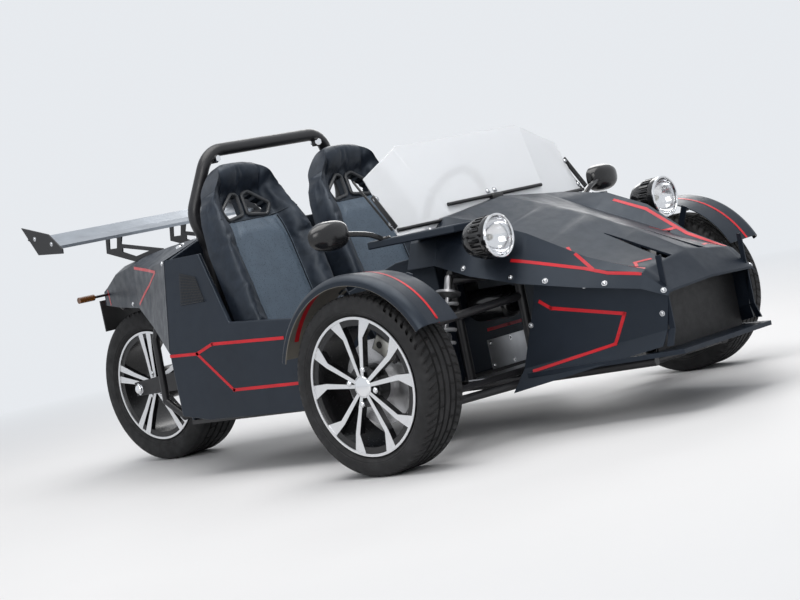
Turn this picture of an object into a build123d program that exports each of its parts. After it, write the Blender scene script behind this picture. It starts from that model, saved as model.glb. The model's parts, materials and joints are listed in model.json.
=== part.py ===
"""Open two-seat three-wheeled car: two steered front wheels under cycle fenders, one rear wheel.

Millimetres. +X is forward, +Y is the car's left, +Z is up. The origin lies on the ground, midway
between the nose tip and the back of the rear tyre. Places along the car are measured from the front
axle with ahead(), because the axle is what the body is set out from.
"""

import os
from math import cos, degrees, hypot, radians, sin

from build123d import *

# Wheels and layout
wheelbase = 1860.0
nose_reach = 700.0  # splitter tip ahead of the front axle
front_radius = 270.0
front_tyre_width = 160.0
front_wheel_y = 788.0  # middle of a front tyre from the centre plane
rear_radius = 288.0
rear_tyre_width = 198.0
bead_inset = 17.0  # tyre's half width less its bead's
bead_grip = 3.0  # tyre over the rim's lip
shoulder_drop = 9.0  # edge of the sidewall below the tread
shoulder_in = 7.0  # and in from the full width
shoulder_mid = (2.42, 13.25)  # down and in to the middle of the shoulder's round
crown_in = 22.0  # edge of the flat tread in from the full width
front_bead_radius = front_radius - 80.0  # where a front tyre's bead sits on its rim
rear_bead_radius = rear_radius - 98.0
rim_lip_rise = 18.0  # rim's lip over the bead
rim_lip_width = 8.0
rim_ring_rise = 10.0  # inside of the bright ring round the outer face over the bead
rim_flange = 3.0  # outer flange's thickness
spoke_proud = 1.5  # spokes out from the flange
spoke_depth = 22.0
cap_radius = 33.0
hub_recess = 9.0  # hub's face in from the spokes
rim_barrel_wall = 9.0
hub_radius = 62.0
spindle_radius = 16.0
running_gap = 0.06  # radial clearance of a wheel on its spindle
kingpin_y = 676.0
spoke_pairs = 5

front_axle_x = (wheelbase + rear_radius - nose_reach) / 2
rear_axle_x = front_axle_x - wheelbase


def ahead(distance):
    """X of a place measured forward from the front axle."""
    return front_axle_x + distance


# Body
panel_wall = 5.0
side_wall = 36.0  # tub side, outer skin to inner skin
tub_half_width = 550.0
tub_front_half_width = 292.0
tub_rear = -1185.0  # from the front axle
tub_knee = -430.0  # where the tub side starts to taper in
tub_front = -140.0
floor_thickness = 14.0
bulkhead_wall = 14.0
seat_gap = 0.3  # soft parts stand this far from what carries them
seat_y = 260.0

# Tubes
rail_radius = 16.0
post_radius = 15.0
cross_radius = 14.0
hoop_radius = 22.0
arm_radius = 13.0
rack_radius = 10.0
corner_swell = 1.1  # a welded corner's ball over its tube

os.makedirs("parts", exist_ok=True)


def save(piece, name):
    """Label a finished piece and write it."""
    piece.part.label = name
    export_step(piece.part, f"parts/{name}.step")


def tube(path, radius):
    """Add a round tube along straight runs to the open part, with a slightly proud ball at each corner."""
    for start, end in zip(path, path[1:]):
        run = Vector(*end) - Vector(*start)
        with Locations(Plane(origin=start, z_dir=run)):
            Cylinder(radius, run.length, align=(Align.CENTER, Align.CENTER, Align.MIN))
    for corner in path[1:-1]:
        with Locations(corner):
            Sphere(radius * corner_swell)


def bent_tube(path, radius, bend):
    """Add a round tube along straight runs joined by bends to the open part."""
    with BuildLine() as line:
        FilletPolyline(*path, radius=bend)
    with BuildSketch(Plane(origin=path[0], z_dir=Vector(*path[1]) - Vector(*path[0]))) as circle:
        Circle(radius)
    sweep(circle.sketch, path=line.wires()[0])


def both_sides(path):
    """A path and its mirror image across the centre plane."""
    return path, [(x, -y, z) for x, y, z in path]


def mirrored(piece):
    """The same piece on the car's other side."""
    with BuildPart() as other:
        mirror(piece.part, about=Plane.XZ)
    return other


def upright_plane(start, end):
    """Plane standing on the line from start to end in plan: local x along it, local y up."""
    run = Vector(end[0] - start[0], end[1] - start[1], 0).normalized()
    return Plane(origin=(start[0], start[1], 0), x_dir=run, z_dir=(run.Y, -run.X, 0))


def wheel_plane(x, y, z):
    """Local x is the radius, local y runs along the axle."""
    return Plane(origin=(x, y, z), x_dir=(1, 0, 0), z_dir=(0, 0, 1))


def make_tyre(hub, radius, width, bead, bead_radius):
    """Low tyre of a given radius and width with its beads between the rim's lips."""
    half = width / 2
    rim_lip = bead_radius + rim_lip_rise
    lip = rim_lip + bead_grip
    bulge = (rim_lip + radius) / 2
    with BuildPart() as tyre:
        with BuildSketch(wheel_plane(*hub)):
            with BuildLine():
                Polyline((lip, -bead), (bead_radius, -bead), (bead_radius, bead), (lip, bead))
                for side in (-1, 1):
                    shoulder = (radius - shoulder_drop, side * (half - shoulder_in))
                    middle = (radius - shoulder_mid[0], side * (half - shoulder_mid[1]))
                    crown = (radius, side * (half - crown_in))
                    ThreePointArc((lip, side * bead), (bulge, side * half), shoulder)
                    ThreePointArc(shoulder, middle, crown)
                Line((radius, half - crown_in), (radius, crown_in - half))
            make_face()
        revolve(axis=Axis(hub, (0, 1, 0)))
    return tyre


def polar(radius, angle):
    """Point on a wheel's face at a radius and an angle in degrees."""
    return radius * cos(radians(angle)), radius * sin(radians(angle))


def make_rim(hub, bead, bead_radius, bore, spoke_rows, hub_depth, cap_thickness):
    """Alloy wheel: barrel with two lips, a recessed hub and pairs of kinked spokes at the outer face.

    spoke_rows gives radius, angle from the pair's middle and width, from root to tip.
    """
    barrel_inner = bead_radius - rim_barrel_wall
    lip = bead_radius + rim_lip_rise
    ring = bead_radius + rim_ring_rise
    outer = bead + rim_lip_width
    flange = bead + rim_flange
    face = flange + spoke_proud
    face_centre = (hub[0], hub[1] + face, hub[2])
    face_plane = Plane(origin=face_centre, x_dir=(1, 0, 0), z_dir=(0, 1, 0))
    with BuildPart() as rim:
        with BuildSketch(wheel_plane(*hub)):
            with BuildLine():
                Polyline((barrel_inner, -outer), (lip, -outer), (lip, -bead), (bead_radius, -bead),
                         (bead_radius, bead), (lip, bead), (lip, outer), (ring, outer), (ring, flange),
                         (barrel_inner, flange), close=True)
            make_face()
        revolve(axis=Axis(hub, (0, 1, 0)))
        for pair in range(spoke_pairs):
            turn = radians(90 + 360 / spoke_pairs * pair)
            pair_plane = Plane(origin=face_centre, x_dir=(cos(turn), 0, sin(turn)), z_dir=(0, 1, 0))
            for side in (-1, 1):
                near = [polar(r, side * a - degrees(w / 2 / r)) for r, a, w in spoke_rows]
                far = [polar(r, side * a + degrees(w / 2 / r)) for r, a, w in spoke_rows]
                with BuildSketch(pair_plane):
                    with BuildLine():
                        Polyline(*near, *far[::-1], close=True)
                    make_face()
                extrude(amount=-spoke_depth)
        with BuildSketch(wheel_plane(*hub)):
            with Locations(((bead_radius + lip) / 2, 0)):
                Rectangle(lip - bead_radius, 2 * bead)
        revolve(axis=Axis(hub, (0, 1, 0)), mode=Mode.SUBTRACT)
        with BuildSketch(face_plane):
            Circle(cap_radius)
        extrude(amount=-spoke_depth)
        with BuildSketch(face_plane.offset(-hub_recess)):
            Circle(hub_radius)
        extrude(amount=hub_recess - hub_depth)
        with BuildSketch(face_plane.offset(-hub_depth)):
            Circle(bore)
        extrude(amount=hub_depth - cap_thickness, mode=Mode.SUBTRACT)
    return rim


# Front wheels, left side first
front_hub = (front_axle_x, front_wheel_y, front_radius)
front_bead = front_tyre_width / 2 - bead_inset
front_face = front_bead + rim_flange + spoke_proud  # spoke face out from the middle of the tyre
front_hub_depth = 53.5
front_cap = 10.0  # metal left over the spindle's end
front_tyre_left = make_tyre(front_hub, front_radius, front_tyre_width, front_bead, front_bead_radius)
front_ring = front_bead_radius + rim_ring_rise
front_spokes = ((26.0, 12.0, 11.0), (front_ring - 52, 12.5, 16.0), (front_ring + 2, 18.0, 42.0))
front_rim_left = make_rim(front_hub, front_bead, front_bead_radius, spindle_radius + running_gap, front_spokes,
                          front_hub_depth, front_cap)
save(front_tyre_left, "front_tyre_left")
save(mirrored(front_tyre_left), "front_tyre_right")
save(front_rim_left, "front_rim_left")
save(mirrored(front_rim_left), "front_rim_right")

# Brake disc, bolted to the inner end of the hub
disc_radius = 128.0
disc_thickness = 12.0
disc_hat = 30.0  # hat's depth
disc_bore = spindle_radius + 8.0
hub_inner = front_wheel_y + front_face - front_hub_depth
disc_plane = Plane(origin=(front_axle_x, hub_inner, front_radius), x_dir=(1, 0, 0), z_dir=(0, 1, 0))
with BuildPart() as disc_left:
    with BuildSketch(disc_plane):
        Circle(hub_radius)
        Circle(disc_bore, mode=Mode.SUBTRACT)
    extrude(amount=-disc_hat)
    with BuildSketch(disc_plane.offset(-disc_hat)):
        Circle(disc_radius)
        Circle(disc_bore, mode=Mode.SUBTRACT)
    extrude(amount=disc_thickness)
save(disc_left, "front_disc_left")
save(mirrored(disc_left), "front_disc_right")
disc_inner = hub_inner - disc_hat

# Knuckle: upright on the kingpin, spindle, steering arm and brake caliper
steer_arm = 110.0
rack_z = 214.0  # steering arm's height
arm_height = 16.0
ball_low_z = 150.0
ball_high_z = 388.0
upright_half = 17.0
upright_depth = 44.0
arm_width = 24.0
ball_radius = 17.0
ball_gap = 0.3  # a wishbone's ball to the upright that turns on it
caliper_gap = 5.0
caliper_angle = 54.0
caliper_height = 52.0
caliper_length = 92.0
inner_jaw_wall = 34.0
outer_jaw_wall = 14.0
caliper_arm = (44.0, 22.0)  # width and thickness of the arm that carries it
caliper_arm_in = 8.0
caliper_outer_radius = disc_radius + 18
hub_boss_radius = 40.0
spindle_end = front_wheel_y + front_face - front_cap - 4.0


def axle_plane(y, angle=0.0):
    """Plane across the front axle: local x points out at an angle above forward."""
    return Plane(origin=(front_axle_x, y, front_radius),
                 x_dir=(cos(radians(angle)), 0, sin(radians(angle))), z_dir=(0, 1, 0))


with BuildPart() as knuckle_left:
    with Locations((front_axle_x, kingpin_y, (ball_low_z + ball_high_z) / 2)):
        Box(upright_depth, 2 * upright_half, ball_high_z - ball_low_z - 2 * (ball_radius + ball_gap))
    with Locations((ahead(steer_arm / 2), kingpin_y, rack_z)):
        Box(steer_arm + arm_width, arm_width, arm_height)
    inner_jaw = disc_inner - caliper_gap - inner_jaw_wall
    with BuildSketch(axle_plane(inner_jaw, caliper_angle)):
        with Locations((caliper_outer_radius - caliper_height / 2, 0)):
            Rectangle(caliper_height, caliper_length)
    extrude(amount=inner_jaw_wall + disc_thickness + 2 * caliper_gap + outer_jaw_wall)
    with BuildSketch(axle_plane(inner_jaw - caliper_arm_in, caliper_angle)):
        with Locations((caliper_outer_radius / 2, 0)):
            Rectangle(caliper_outer_radius, caliper_arm[0])
    extrude(amount=caliper_arm[1])
    with BuildSketch(axle_plane(disc_inner - caliper_gap)):
        Circle(disc_radius + caliper_gap)
    extrude(amount=disc_thickness + 2 * caliper_gap, mode=Mode.SUBTRACT)
    with BuildSketch(axle_plane(kingpin_y - upright_half)):
        Circle(hub_boss_radius)
    extrude(amount=disc_inner - caliper_gap - kingpin_y + upright_half)
    with BuildSketch(axle_plane(kingpin_y)):
        Circle(spindle_radius)
    extrude(amount=spindle_end - kingpin_y)
save(knuckle_left, "knuckle_left")
save(mirrored(knuckle_left), "knuckle_right")

# Cycle fender, rolled about the axle and carried on two stays from the knuckle
fender_crown = 332.0
fender_lip = 300.0
fender_outer_y = 872.0
fender_inner_y = 704.0
fender_inner_radius = 320.0
fender_wall = 4.0
fender_front_angle = 27.0
fender_rear_angle = 161.0
fender_round = (18.0, 34.0)  # down and in from the crown to where the outer edge's round ends
round_mid = (5.0, 14.0)
stay_y = kingpin_y + 22.0
stay_angles = (66.0, 118.0)
stay_width = 22.0
stay_wall = 6.0
stay_foot = 10.0
with BuildPart() as fender_left:
    front_edge = radians(fender_front_angle)
    with BuildSketch(Plane(origin=front_hub, x_dir=(cos(front_edge), 0, sin(front_edge)),
                           z_dir=(-sin(front_edge), 0, cos(front_edge)))):
        with BuildLine():
            lip = fender_outer_y - front_wheel_y
            inner = fender_inner_y - front_wheel_y
            fall, reach = fender_round
            under = fender_crown - fender_wall
            Line((fender_lip, lip), (fender_crown - fall, lip))
            ThreePointArc((fender_crown - fall, lip), (fender_crown - round_mid[0], lip - round_mid[1]),
                          (fender_crown, lip - reach))
            Polyline((fender_crown, lip - reach), (fender_inner_radius, inner),
                     (fender_inner_radius - fender_wall, inner), (under, lip - reach - 1))
            ThreePointArc((under, lip - reach - 1), (under - round_mid[0], lip - round_mid[1] - 3),
                          (fender_crown - fall - 1, lip - fender_wall))
            Polyline((fender_crown - fall - 1, lip - fender_wall), (fender_lip, lip - fender_wall),
                     (fender_lip, lip))
        make_face()
    revolve(axis=Axis(front_hub, (0, -1, 0)), revolution_arc=fender_rear_angle - fender_front_angle)
    stay_tip = fender_inner_radius - 2
    for angle in stay_angles:
        with BuildSketch(axle_plane(stay_y, angle)):
            with Locations(((stay_tip + hub_boss_radius) / 2, 0)):
                Rectangle(stay_tip - hub_boss_radius + 2 * stay_wall, stay_width)
        extrude(amount=stay_wall)
        with BuildSketch(axle_plane(stay_y, angle)):
            with Locations((stay_tip - stay_foot / 2, 0)):
                Rectangle(stay_foot, stay_width)
        extrude(amount=fender_inner_y + 14 - stay_y)
    add(knuckle_left.part, mode=Mode.SUBTRACT)
save(fender_left, "fender_left")
save(mirrored(fender_left), "fender_right")

# Front frame: rails, posts, cross tubes, spring mounts and the steering rack's housing
rail_y = 250.0
rail_z = 160.0
upper_z = 500.0
nose_frame_y = 180.0
nose_frame_z = 300.0
post_places = (150.0, -122.0)  # from the front axle
rail_rear = -560.0
rail_bend = 190.0
rail_front = 540.0
frame_bend = 60.0
rack_housing_half = 150.0
rack_housing_radius = 20.0
rack_slip = 0.3
rack_lug = (30.0, 24.0)  # width and height of a lug that holds the housing
rack_lug_y = 105.0
tie_rod_gap = 5.0  # steering arm's underside to the tie rod
tie_rod_z = rack_z - arm_height / 2 - tie_rod_gap - rack_radius
spring_top = (ahead(0), 388.0, 528.0)
spring_foot = (ahead(0), 545.0, 152.0)
spring_mount_radius = 12.0
with BuildPart() as front_frame:
    for path in both_sides([(ahead(rail_rear), rail_y, rail_z), (ahead(rail_bend), rail_y, rail_z),
                            (ahead(rail_front + rail_radius), nose_frame_y, rail_z)]):
        bent_tube(path, rail_radius, frame_bend)
    for path in both_sides([(ahead(post_places[1] - rail_radius), rail_y, upper_z),
                            (ahead(post_places[0]), rail_y, upper_z),
                            (ahead(rail_front), nose_frame_y, nose_frame_z),
                            (ahead(rail_front), nose_frame_y, rail_z)]):
        bent_tube(path, rail_radius, frame_bend)
    for post in post_places:
        for path in both_sides([(ahead(post), rail_y, rail_z), (ahead(post), rail_y, upper_z)]):
            tube(path, post_radius)
        for height in (rail_z, upper_z):
            tube([(ahead(post), -rail_y, height), (ahead(post), rail_y, height)], cross_radius)
    for height in (rail_z, nose_frame_z):
        tube([(ahead(rail_front), -nose_frame_y, height), (ahead(rail_front), nose_frame_y, height)],
             cross_radius)
    for side in (-1, 1):
        lug_x = ahead((steer_arm + post_places[0]) / 2)
        with Locations((lug_x, side * rack_lug_y, (rail_z + tie_rod_z) / 2)):
            Box(post_places[0] - steer_arm, *rack_lug)
    for path in both_sides([(ahead(0), rail_y, upper_z), spring_top]):
        tube(path, spring_mount_radius)
    rack_axis = Plane(origin=(ahead(steer_arm), 0, tie_rod_z), x_dir=(1, 0, 0), z_dir=(0, 1, 0))
    with Locations(rack_axis):
        Cylinder(rack_housing_radius, 2 * rack_housing_half)
        Cylinder(rack_radius + rack_slip, 2 * rack_housing_half, mode=Mode.SUBTRACT)
save(front_frame, "front_frame")

# Rack bar and tie rods slide as one piece
tie_rod_end = kingpin_y + 8
with BuildPart() as tie_rods:
    with Locations(rack_axis):
        Cylinder(rack_radius, 2 * tie_rod_end)
save(tie_rods, "tie_rods")

# Wishbones, one upper and one lower each side, saddled on the frame's tubes
wishbone_rows = (  # ball height, pivot height, front pivot, rear pivot
    (ball_low_z, rail_z, 165.0, -165.0),
    (ball_high_z, 420.0, post_places[0], post_places[1]),
)
spring_bar = 62.0  # half length of the bar under a spring
with BuildPart() as wishbones:
    for ball_z, pivot_z, front_pivot, rear_pivot in wishbone_rows:
        for pivot in (front_pivot, rear_pivot):
            for path in both_sides([(ahead(pivot), rail_y, pivot_z), (ahead(0), kingpin_y, ball_z)]):
                tube(path, arm_radius)
        for side in (-1, 1):
            with Locations((ahead(0), side * kingpin_y, ball_z)):
                Sphere(ball_radius)
    for side in (-1, 1):
        y = side * spring_foot[1]
        tube([(ahead(-spring_bar), y, spring_foot[2]), (ahead(spring_bar), y, spring_foot[2])],
             spring_mount_radius)
    add(front_frame.part, mode=Mode.SUBTRACT)
save(wishbones, "wishbones")

# Coil-over dampers, the spring's turns as ribs
spring_radius = 36.0
spring_turns = 7
damper_radius = 18.0
rod_radius = 14.0
seat_height = 66.0  # a spring seat from the damper's end
seat_wall = 6.0
spring_wire = 8.0  # depth of the grooves between turns


def make_coilover(foot, top):
    """Damper with a ribbed spring between two seats, from its foot to its top."""
    run = Vector(*top) - Vector(*foot)
    side = Vector(run.Z, 0, -run.X) if abs(run.Y) < 1 else Vector(1, 0, 0)
    top_seat = run.length - seat_height
    turn_pitch = (top_seat - seat_height) / spring_turns
    groove = spring_radius - spring_wire
    plate = spring_radius + spring_wire / 2
    with BuildPart() as coilover:
        with BuildSketch(Plane(origin=foot, x_dir=side, z_dir=side.cross(run))):
            with BuildLine():
                Polyline((groove, seat_height), (plate, seat_height), (plate, seat_height - seat_wall),
                         (damper_radius, seat_height - seat_wall), (damper_radius, 0), (0, 0),
                         (0, run.length), (rod_radius, run.length), (rod_radius, top_seat + seat_wall),
                         (plate, top_seat + seat_wall), (plate, top_seat), (groove, top_seat))
                for turn in range(spring_turns):
                    low = seat_height + turn * turn_pitch
                    ThreePointArc((groove, low), (spring_radius, low + turn_pitch / 2),
                                  (groove, low + turn_pitch))
            make_face()
        revolve(axis=Axis(foot, run))
    return coilover


with BuildPart() as coilovers:
    add(make_coilover(spring_foot, spring_top).part)
    mirror(about=Plane.XZ)
    add(front_frame.part, mode=Mode.SUBTRACT)
    add(wishbones.part, mode=Mode.SUBTRACT)
save(coilovers, "coilovers")

# Hood: a faceted shell with a fin along each side, ruled between cross-sections
hood_rows = (  # from axle, crown z, valley y, z, fin y, z, chine y, z, skirt y, z
    (-50.0, 728.0, 200.0, 708.0, 290.0, 700.0, 352.0, 640.0, 392.0, 560.0),
    (110.0, 676.0, 250.0, 622.0, 326.0, 668.0, 378.0, 592.0, 424.0, 512.0),
    (270.0, 620.0, 262.0, 552.0, 312.0, 606.0, 346.0, 533.0, 394.0, 464.0),
    (440.0, 548.0, 240.0, 484.0, 262.0, 502.0, 290.0, 471.0, 328.0, 420.0),
    (610.0, 462.0, 208.0, 436.0, 222.0, 434.0, 238.0, 428.0, 262.0, 384.0),
    (680.0, 374.0, 196.0, 366.0, 208.0, 364.6, 222.0, 362.0, 232.0, 350.0),
)
fold_drop = 7.0  # inner skin below the outer one over the folded top
vent_rows = (  # from axle, y of the inner and outer edge of a hood vent
    (375.0, 74.0, 78.0),
    (604.0, 70.0, 106.0),
)


def hood_outline(row):
    """One side of a hood section from the crown out to the skirt, as (y, z)."""
    crown_z, *pairs = row[1:]
    return [(0.0, crown_z), *zip(pairs[0::2], pairs[1::2])]


def hood_section(row, wall):
    """Closed section of the hood's shell, or of its filled form where wall is zero."""
    outer = hood_outline(row)
    if not wall:
        skirt_z = outer[-1][1]
        return [*outer, (0.0, skirt_z)]
    *top, chine, skirt = outer
    inner = [*[(y, z - fold_drop) for y, z in top], (chine[0] - wall, chine[1] - wall),
             (skirt[0] - wall, skirt[1])]
    return [*outer, *inner[::-1]]


def ruled_body(rows, section, wall):
    """Left half of a ruled shell through the sections, mirrored to both sides in the open part."""
    outlines = []
    for row in rows:
        with BuildSketch(Plane(origin=(ahead(row[0]), 0, 0), x_dir=(0, 1, 0), z_dir=(1, 0, 0))) as outline:
            with BuildLine():
                Polyline(*section(row, wall), close=True)
            make_face()
        outlines.append(outline.sketch)
    loft(outlines, ruled=True)
    mirror(about=Plane.XZ)


with BuildPart() as hood:
    ruled_body(hood_rows, hood_section, panel_wall)
    with BuildSketch():
        with BuildLine():
            (rear_x, *rear_edges), (front_x, *front_edges) = vent_rows
            Polyline((ahead(rear_x), rear_edges[0]), (ahead(rear_x), rear_edges[1]),
                     (ahead(front_x), front_edges[1]), (ahead(front_x), front_edges[0]), close=True)
        make_face()
        mirror(about=Plane.XZ)
    extrude(amount=hood_rows[0][1], mode=Mode.SUBTRACT)
save(hood, "hood")
with BuildPart() as hood_form:
    ruled_body(hood_rows, hood_section, 0)

# Nose: two side panels under the hood, a recessed intake between them and a splitter below
nose_rows = (  # from axle, y of the panel, fold z, skirt y, skirt z
    (130.0, 354.0, 198.0, 392.0, 134.0),
    (668.0, 214.0, 252.0, 238.0, 204.0),
)
nose_top = 470.0
nose_outline = ((270.0, nose_top), (250.0, 392.0), (156.0, 138.0), (635.0, 206.0), (668.0, 352.0),
                (610.0, 392.0), (425.0, nose_top))
with BuildPart() as nose_sides:
    skirts = []
    for x, y, fold_z, skirt_y, skirt_z in nose_rows:
        with BuildSketch(Plane(origin=(ahead(x), 0, 0), x_dir=(0, 1, 0), z_dir=(1, 0, 0))) as skirt:
            with BuildLine():
                Polyline((y, nose_top), (y, fold_z), (skirt_y, skirt_z), (skirt_y - panel_wall, skirt_z),
                         (y - panel_wall, fold_z), (y - panel_wall, nose_top), close=True)
            make_face()
        skirts.append(skirt.sketch)
    loft(skirts, ruled=True)
    with BuildSketch(Plane(origin=(0, 0, 0), x_dir=(1, 0, 0), z_dir=(0, -1, 0))):
        with BuildLine():
            Polyline(*[(ahead(x), z) for x, z in nose_outline], close=True)
        make_face()
    extrude(amount=-tub_half_width, mode=Mode.INTERSECT)
    add(hood_form.part, mode=Mode.SUBTRACT)
    add(hood.part, mode=Mode.SUBTRACT)
    mirror(about=Plane.XZ)
save(nose_sides, "nose_sides")

splitter_thickness = 14.0
splitter_rows = ((nose_reach, 232.0), (590.0, 264.0), (200.0, 356.0))  # from axle, half width
splitter_top = 190.0
with BuildPart() as splitter:
    with BuildSketch(Plane.XY.offset(splitter_top)):
        with BuildLine():
            Polyline(*[(ahead(x), y) for x, y in splitter_rows],
                     *[(ahead(x), -y) for x, y in splitter_rows[::-1]], close=True)
        make_face()
    extrude(amount=-splitter_thickness)
    add(nose_sides.part, mode=Mode.SUBTRACT)
    add(front_frame.part, mode=Mode.SUBTRACT)
save(splitter, "splitter")

intake_x = 600.0
intake_half = 222.0
intake_top = 380.0
intake_wall = 8.0
with BuildPart() as nose_intake:
    with BuildSketch(Plane(origin=(ahead(intake_x), 0, 0), x_dir=(0, 1, 0), z_dir=(1, 0, 0))):
        with BuildLine():
            Polyline((-intake_half, splitter_top), (intake_half, splitter_top), (intake_half, intake_top),
                     (-intake_half, intake_top), close=True)
        make_face()
    extrude(amount=-intake_wall)
    add(nose_sides.part, mode=Mode.SUBTRACT)
    add(hood.part, mode=Mode.SUBTRACT)
save(nose_intake, "nose_intake")

# Front tray on the rails, and the canister hung from the rear cross tube
tray_wall = 4.0
tray_front = steer_arm - rack_housing_radius - tie_rod_gap
tray_half = rail_y + rail_radius
with BuildPart() as front_tray:
    with BuildSketch(Plane.XY.offset(rail_z + rail_radius)):
        with Locations((ahead((tray_front + post_places[1]) / 2), 0)):
            Rectangle(tray_front - post_places[1], 2 * tray_half)
    extrude(amount=tray_wall)
    add(front_frame.part, mode=Mode.SUBTRACT)
save(front_tray, "front_tray")

canister_radius = 52.0
canister_length = 176.0
canister_y = -165.0
canister_z = 402.0
canister_round = 26.0
hanger_width = 60.0
hanger_wall = 8.0
canister_back = post_places[1] - hanger_wall / 2
canister_plane = Plane(origin=(ahead(canister_back), canister_y, canister_z), x_dir=(0, 1, 0),
                       z_dir=(1, 0, 0))
with BuildPart() as bay_canister:
    with BuildSketch(canister_plane):
        Circle(canister_radius)
    extrude(amount=canister_length)
    fillet(bay_canister.edges().filter_by(GeomType.CIRCLE), canister_round)
    with BuildSketch(canister_plane):
        with Locations((0, (upper_z - canister_z) / 2)):
            Rectangle(hanger_width, upper_z - canister_z)
    extrude(amount=hanger_wall)
    add(front_frame.part, mode=Mode.SUBTRACT)
save(bay_canister, "bay_canister")

# Tub: floor, two sides with a low step-over cut, front and rear bulkheads
floor_bottom = rail_z + rail_radius
floor_top = floor_bottom + floor_thickness
tub_plan = ((tub_rear, tub_half_width), (tub_knee, tub_half_width), (tub_front, tub_front_half_width))
inner_plan = [(ahead(x), y - side_wall) for x, y in tub_plan]
outer_plan = [(ahead(x), y) for x, y in tub_plan]
with BuildPart() as floor_pan:
    with BuildSketch(Plane.XY.offset(floor_bottom)):
        with BuildLine():
            Polyline(*inner_plan, *[(x, -y) for x, y in inner_plan[::-1]], close=True)
        make_face()
    extrude(amount=floor_thickness)
save(floor_pan, "floor_pan")

crease_z = 430.0
flank_lean = 60.0  # how far the flank leans in
flank_top = (tub_half_width - flank_lean, 744.0)  # y, z of the flank's upper edge
flank_wall = 18.0
lean_front = -470.0  # the leaning flank starts here, from the front axle
flank_outline = (  # from axle, z of the leaning upper part
    (tub_rear, crease_z), (lean_front, crease_z), (lean_front, 474.0), (-874.0, 503.0),
    (-1008.0, flank_top[1]), (tub_rear, flank_top[1]),
)
sill_outline = (  # from axle, z of the upright part
    (tub_rear, 212.0), (-1050.0, 188.0), (tub_knee, 180.0), (tub_front, 179.0), (tub_front, 600.0),
    (-230.0, 590.0), (lean_front, 474.0), (lean_front, crease_z), (tub_rear, crease_z),
)
side_plane = Plane(origin=(0, 0, 0), x_dir=(1, 0, 0), z_dir=(0, -1, 0))
with BuildPart() as sill_form:
    with BuildSketch():
        with BuildLine():
            Polyline(*outer_plan, *inner_plan[::-1], close=True)
        make_face()
    extrude(amount=flank_top[1])
    with BuildSketch(side_plane):
        with BuildLine():
            Polyline(*[(ahead(x), z) for x, z in sill_outline], close=True)
        make_face()
    extrude(amount=-tub_half_width, mode=Mode.INTERSECT)
with BuildPart() as side_panel_left:
    with BuildSketch(Plane(origin=(ahead(tub_rear), 0, 0), x_dir=(0, 1, 0), z_dir=(1, 0, 0))):
        with BuildLine():
            Polyline((tub_half_width, crease_z), (tub_half_width - flank_wall, crease_z),
                     (flank_top[0] - flank_wall, flank_top[1]), flank_top, close=True)
        make_face()
    extrude(amount=lean_front - tub_rear)
    with BuildSketch(side_plane):
        with BuildLine():
            Polyline(*[(ahead(x), z) for x, z in flank_outline], close=True)
        make_face()
    extrude(amount=-tub_half_width, mode=Mode.INTERSECT)
    add(sill_form.part)
save(side_panel_left, "side_panel_left")
save(mirrored(side_panel_left), "side_panel_right")

scuttle_bottom = hood_rows[0][-1]
scuttle_depth = 120.0
front_bulkhead_half = tub_front_half_width - side_wall
with BuildPart() as front_bulkhead:
    with BuildSketch(Plane.XY.offset(floor_top)):
        with Locations((ahead(tub_front) - bulkhead_wall / 2, 0)):
            Rectangle(bulkhead_wall, 2 * front_bulkhead_half)
    extrude(amount=scuttle_bottom - floor_top)
save(front_bulkhead, "front_bulkhead")

hoop_x = -1125.0
rear_bulkhead_x = tub_rear
rear_deck_z = 800.0
rear_deck_half = 300.0
with BuildPart() as rear_bulkhead:
    with BuildSketch(Plane(origin=(ahead(rear_bulkhead_x), 0, 0), x_dir=(0, 1, 0), z_dir=(1, 0, 0))):
        with BuildLine():
            half = tub_half_width - side_wall
            rise = [(half, floor_top), (half, crease_z), (flank_top[0] - flank_wall, flank_top[1]),
                    (rear_deck_half, rear_deck_z)]
            Polyline(*rise, *[(-y, z) for y, z in rise[::-1]], close=True)
        make_face()
    extrude(amount=bulkhead_wall)
save(rear_bulkhead, "rear_bulkhead")

hoop_foot_y = 330.0
hoop_path = [  # left half from the floor up to the top corner
    (ahead(hoop_x), hoop_foot_y, floor_top), (ahead(hoop_x), hoop_foot_y, 760.0),
    (ahead(hoop_x), 372.0, 875.0), (ahead(-1090.0), 278.0, 1082.0),
]
hoop_bend = 95.0
with BuildPart() as roll_hoop:
    bent_tube([*hoop_path, *[(x, -y, z) for x, y, z in hoop_path[::-1]]], hoop_radius, hoop_bend)
save(roll_hoop, "roll_hoop")

# Scuttle behind the hood, carrying the screen and the dash
with BuildPart() as scuttle:
    with BuildSketch(Plane(origin=(ahead(hood_rows[0][0]), 0, 0), x_dir=(0, 1, 0), z_dir=(1, 0, 0))):
        with BuildLine():
            rim = hood_outline(hood_rows[0])
            Polyline(*rim, *[(-y, z) for y, z in rim[:0:-1]], close=True)
        make_face()
    extrude(amount=-scuttle_depth)
    add(side_panel_left.part, mode=Mode.SUBTRACT)
    mirror(side_panel_left.part, about=Plane.XZ, mode=Mode.SUBTRACT)
save(scuttle, "scuttle")

blade_thickness = 24.0
blade_z = 650.0
blade_outline = (  # from axle, y
    (96.0, 330.0), (60.0, 392.0), (-165.0, 548.0), (-165.0, 492.0), (-140.0, 330.0),
)
with BuildPart() as cowl_blades:
    with BuildSketch(Plane.XY.offset(blade_z)):
        with BuildLine():
            Polyline(*[(ahead(x), y) for x, y in blade_outline], close=True)
        make_face()
    extrude(amount=blade_thickness)
    add(hood_form.part, mode=Mode.SUBTRACT)
    add(scuttle.part, mode=Mode.SUBTRACT)
    mirror(about=Plane.XZ)
save(cowl_blades, "cowl_blades")

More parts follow.
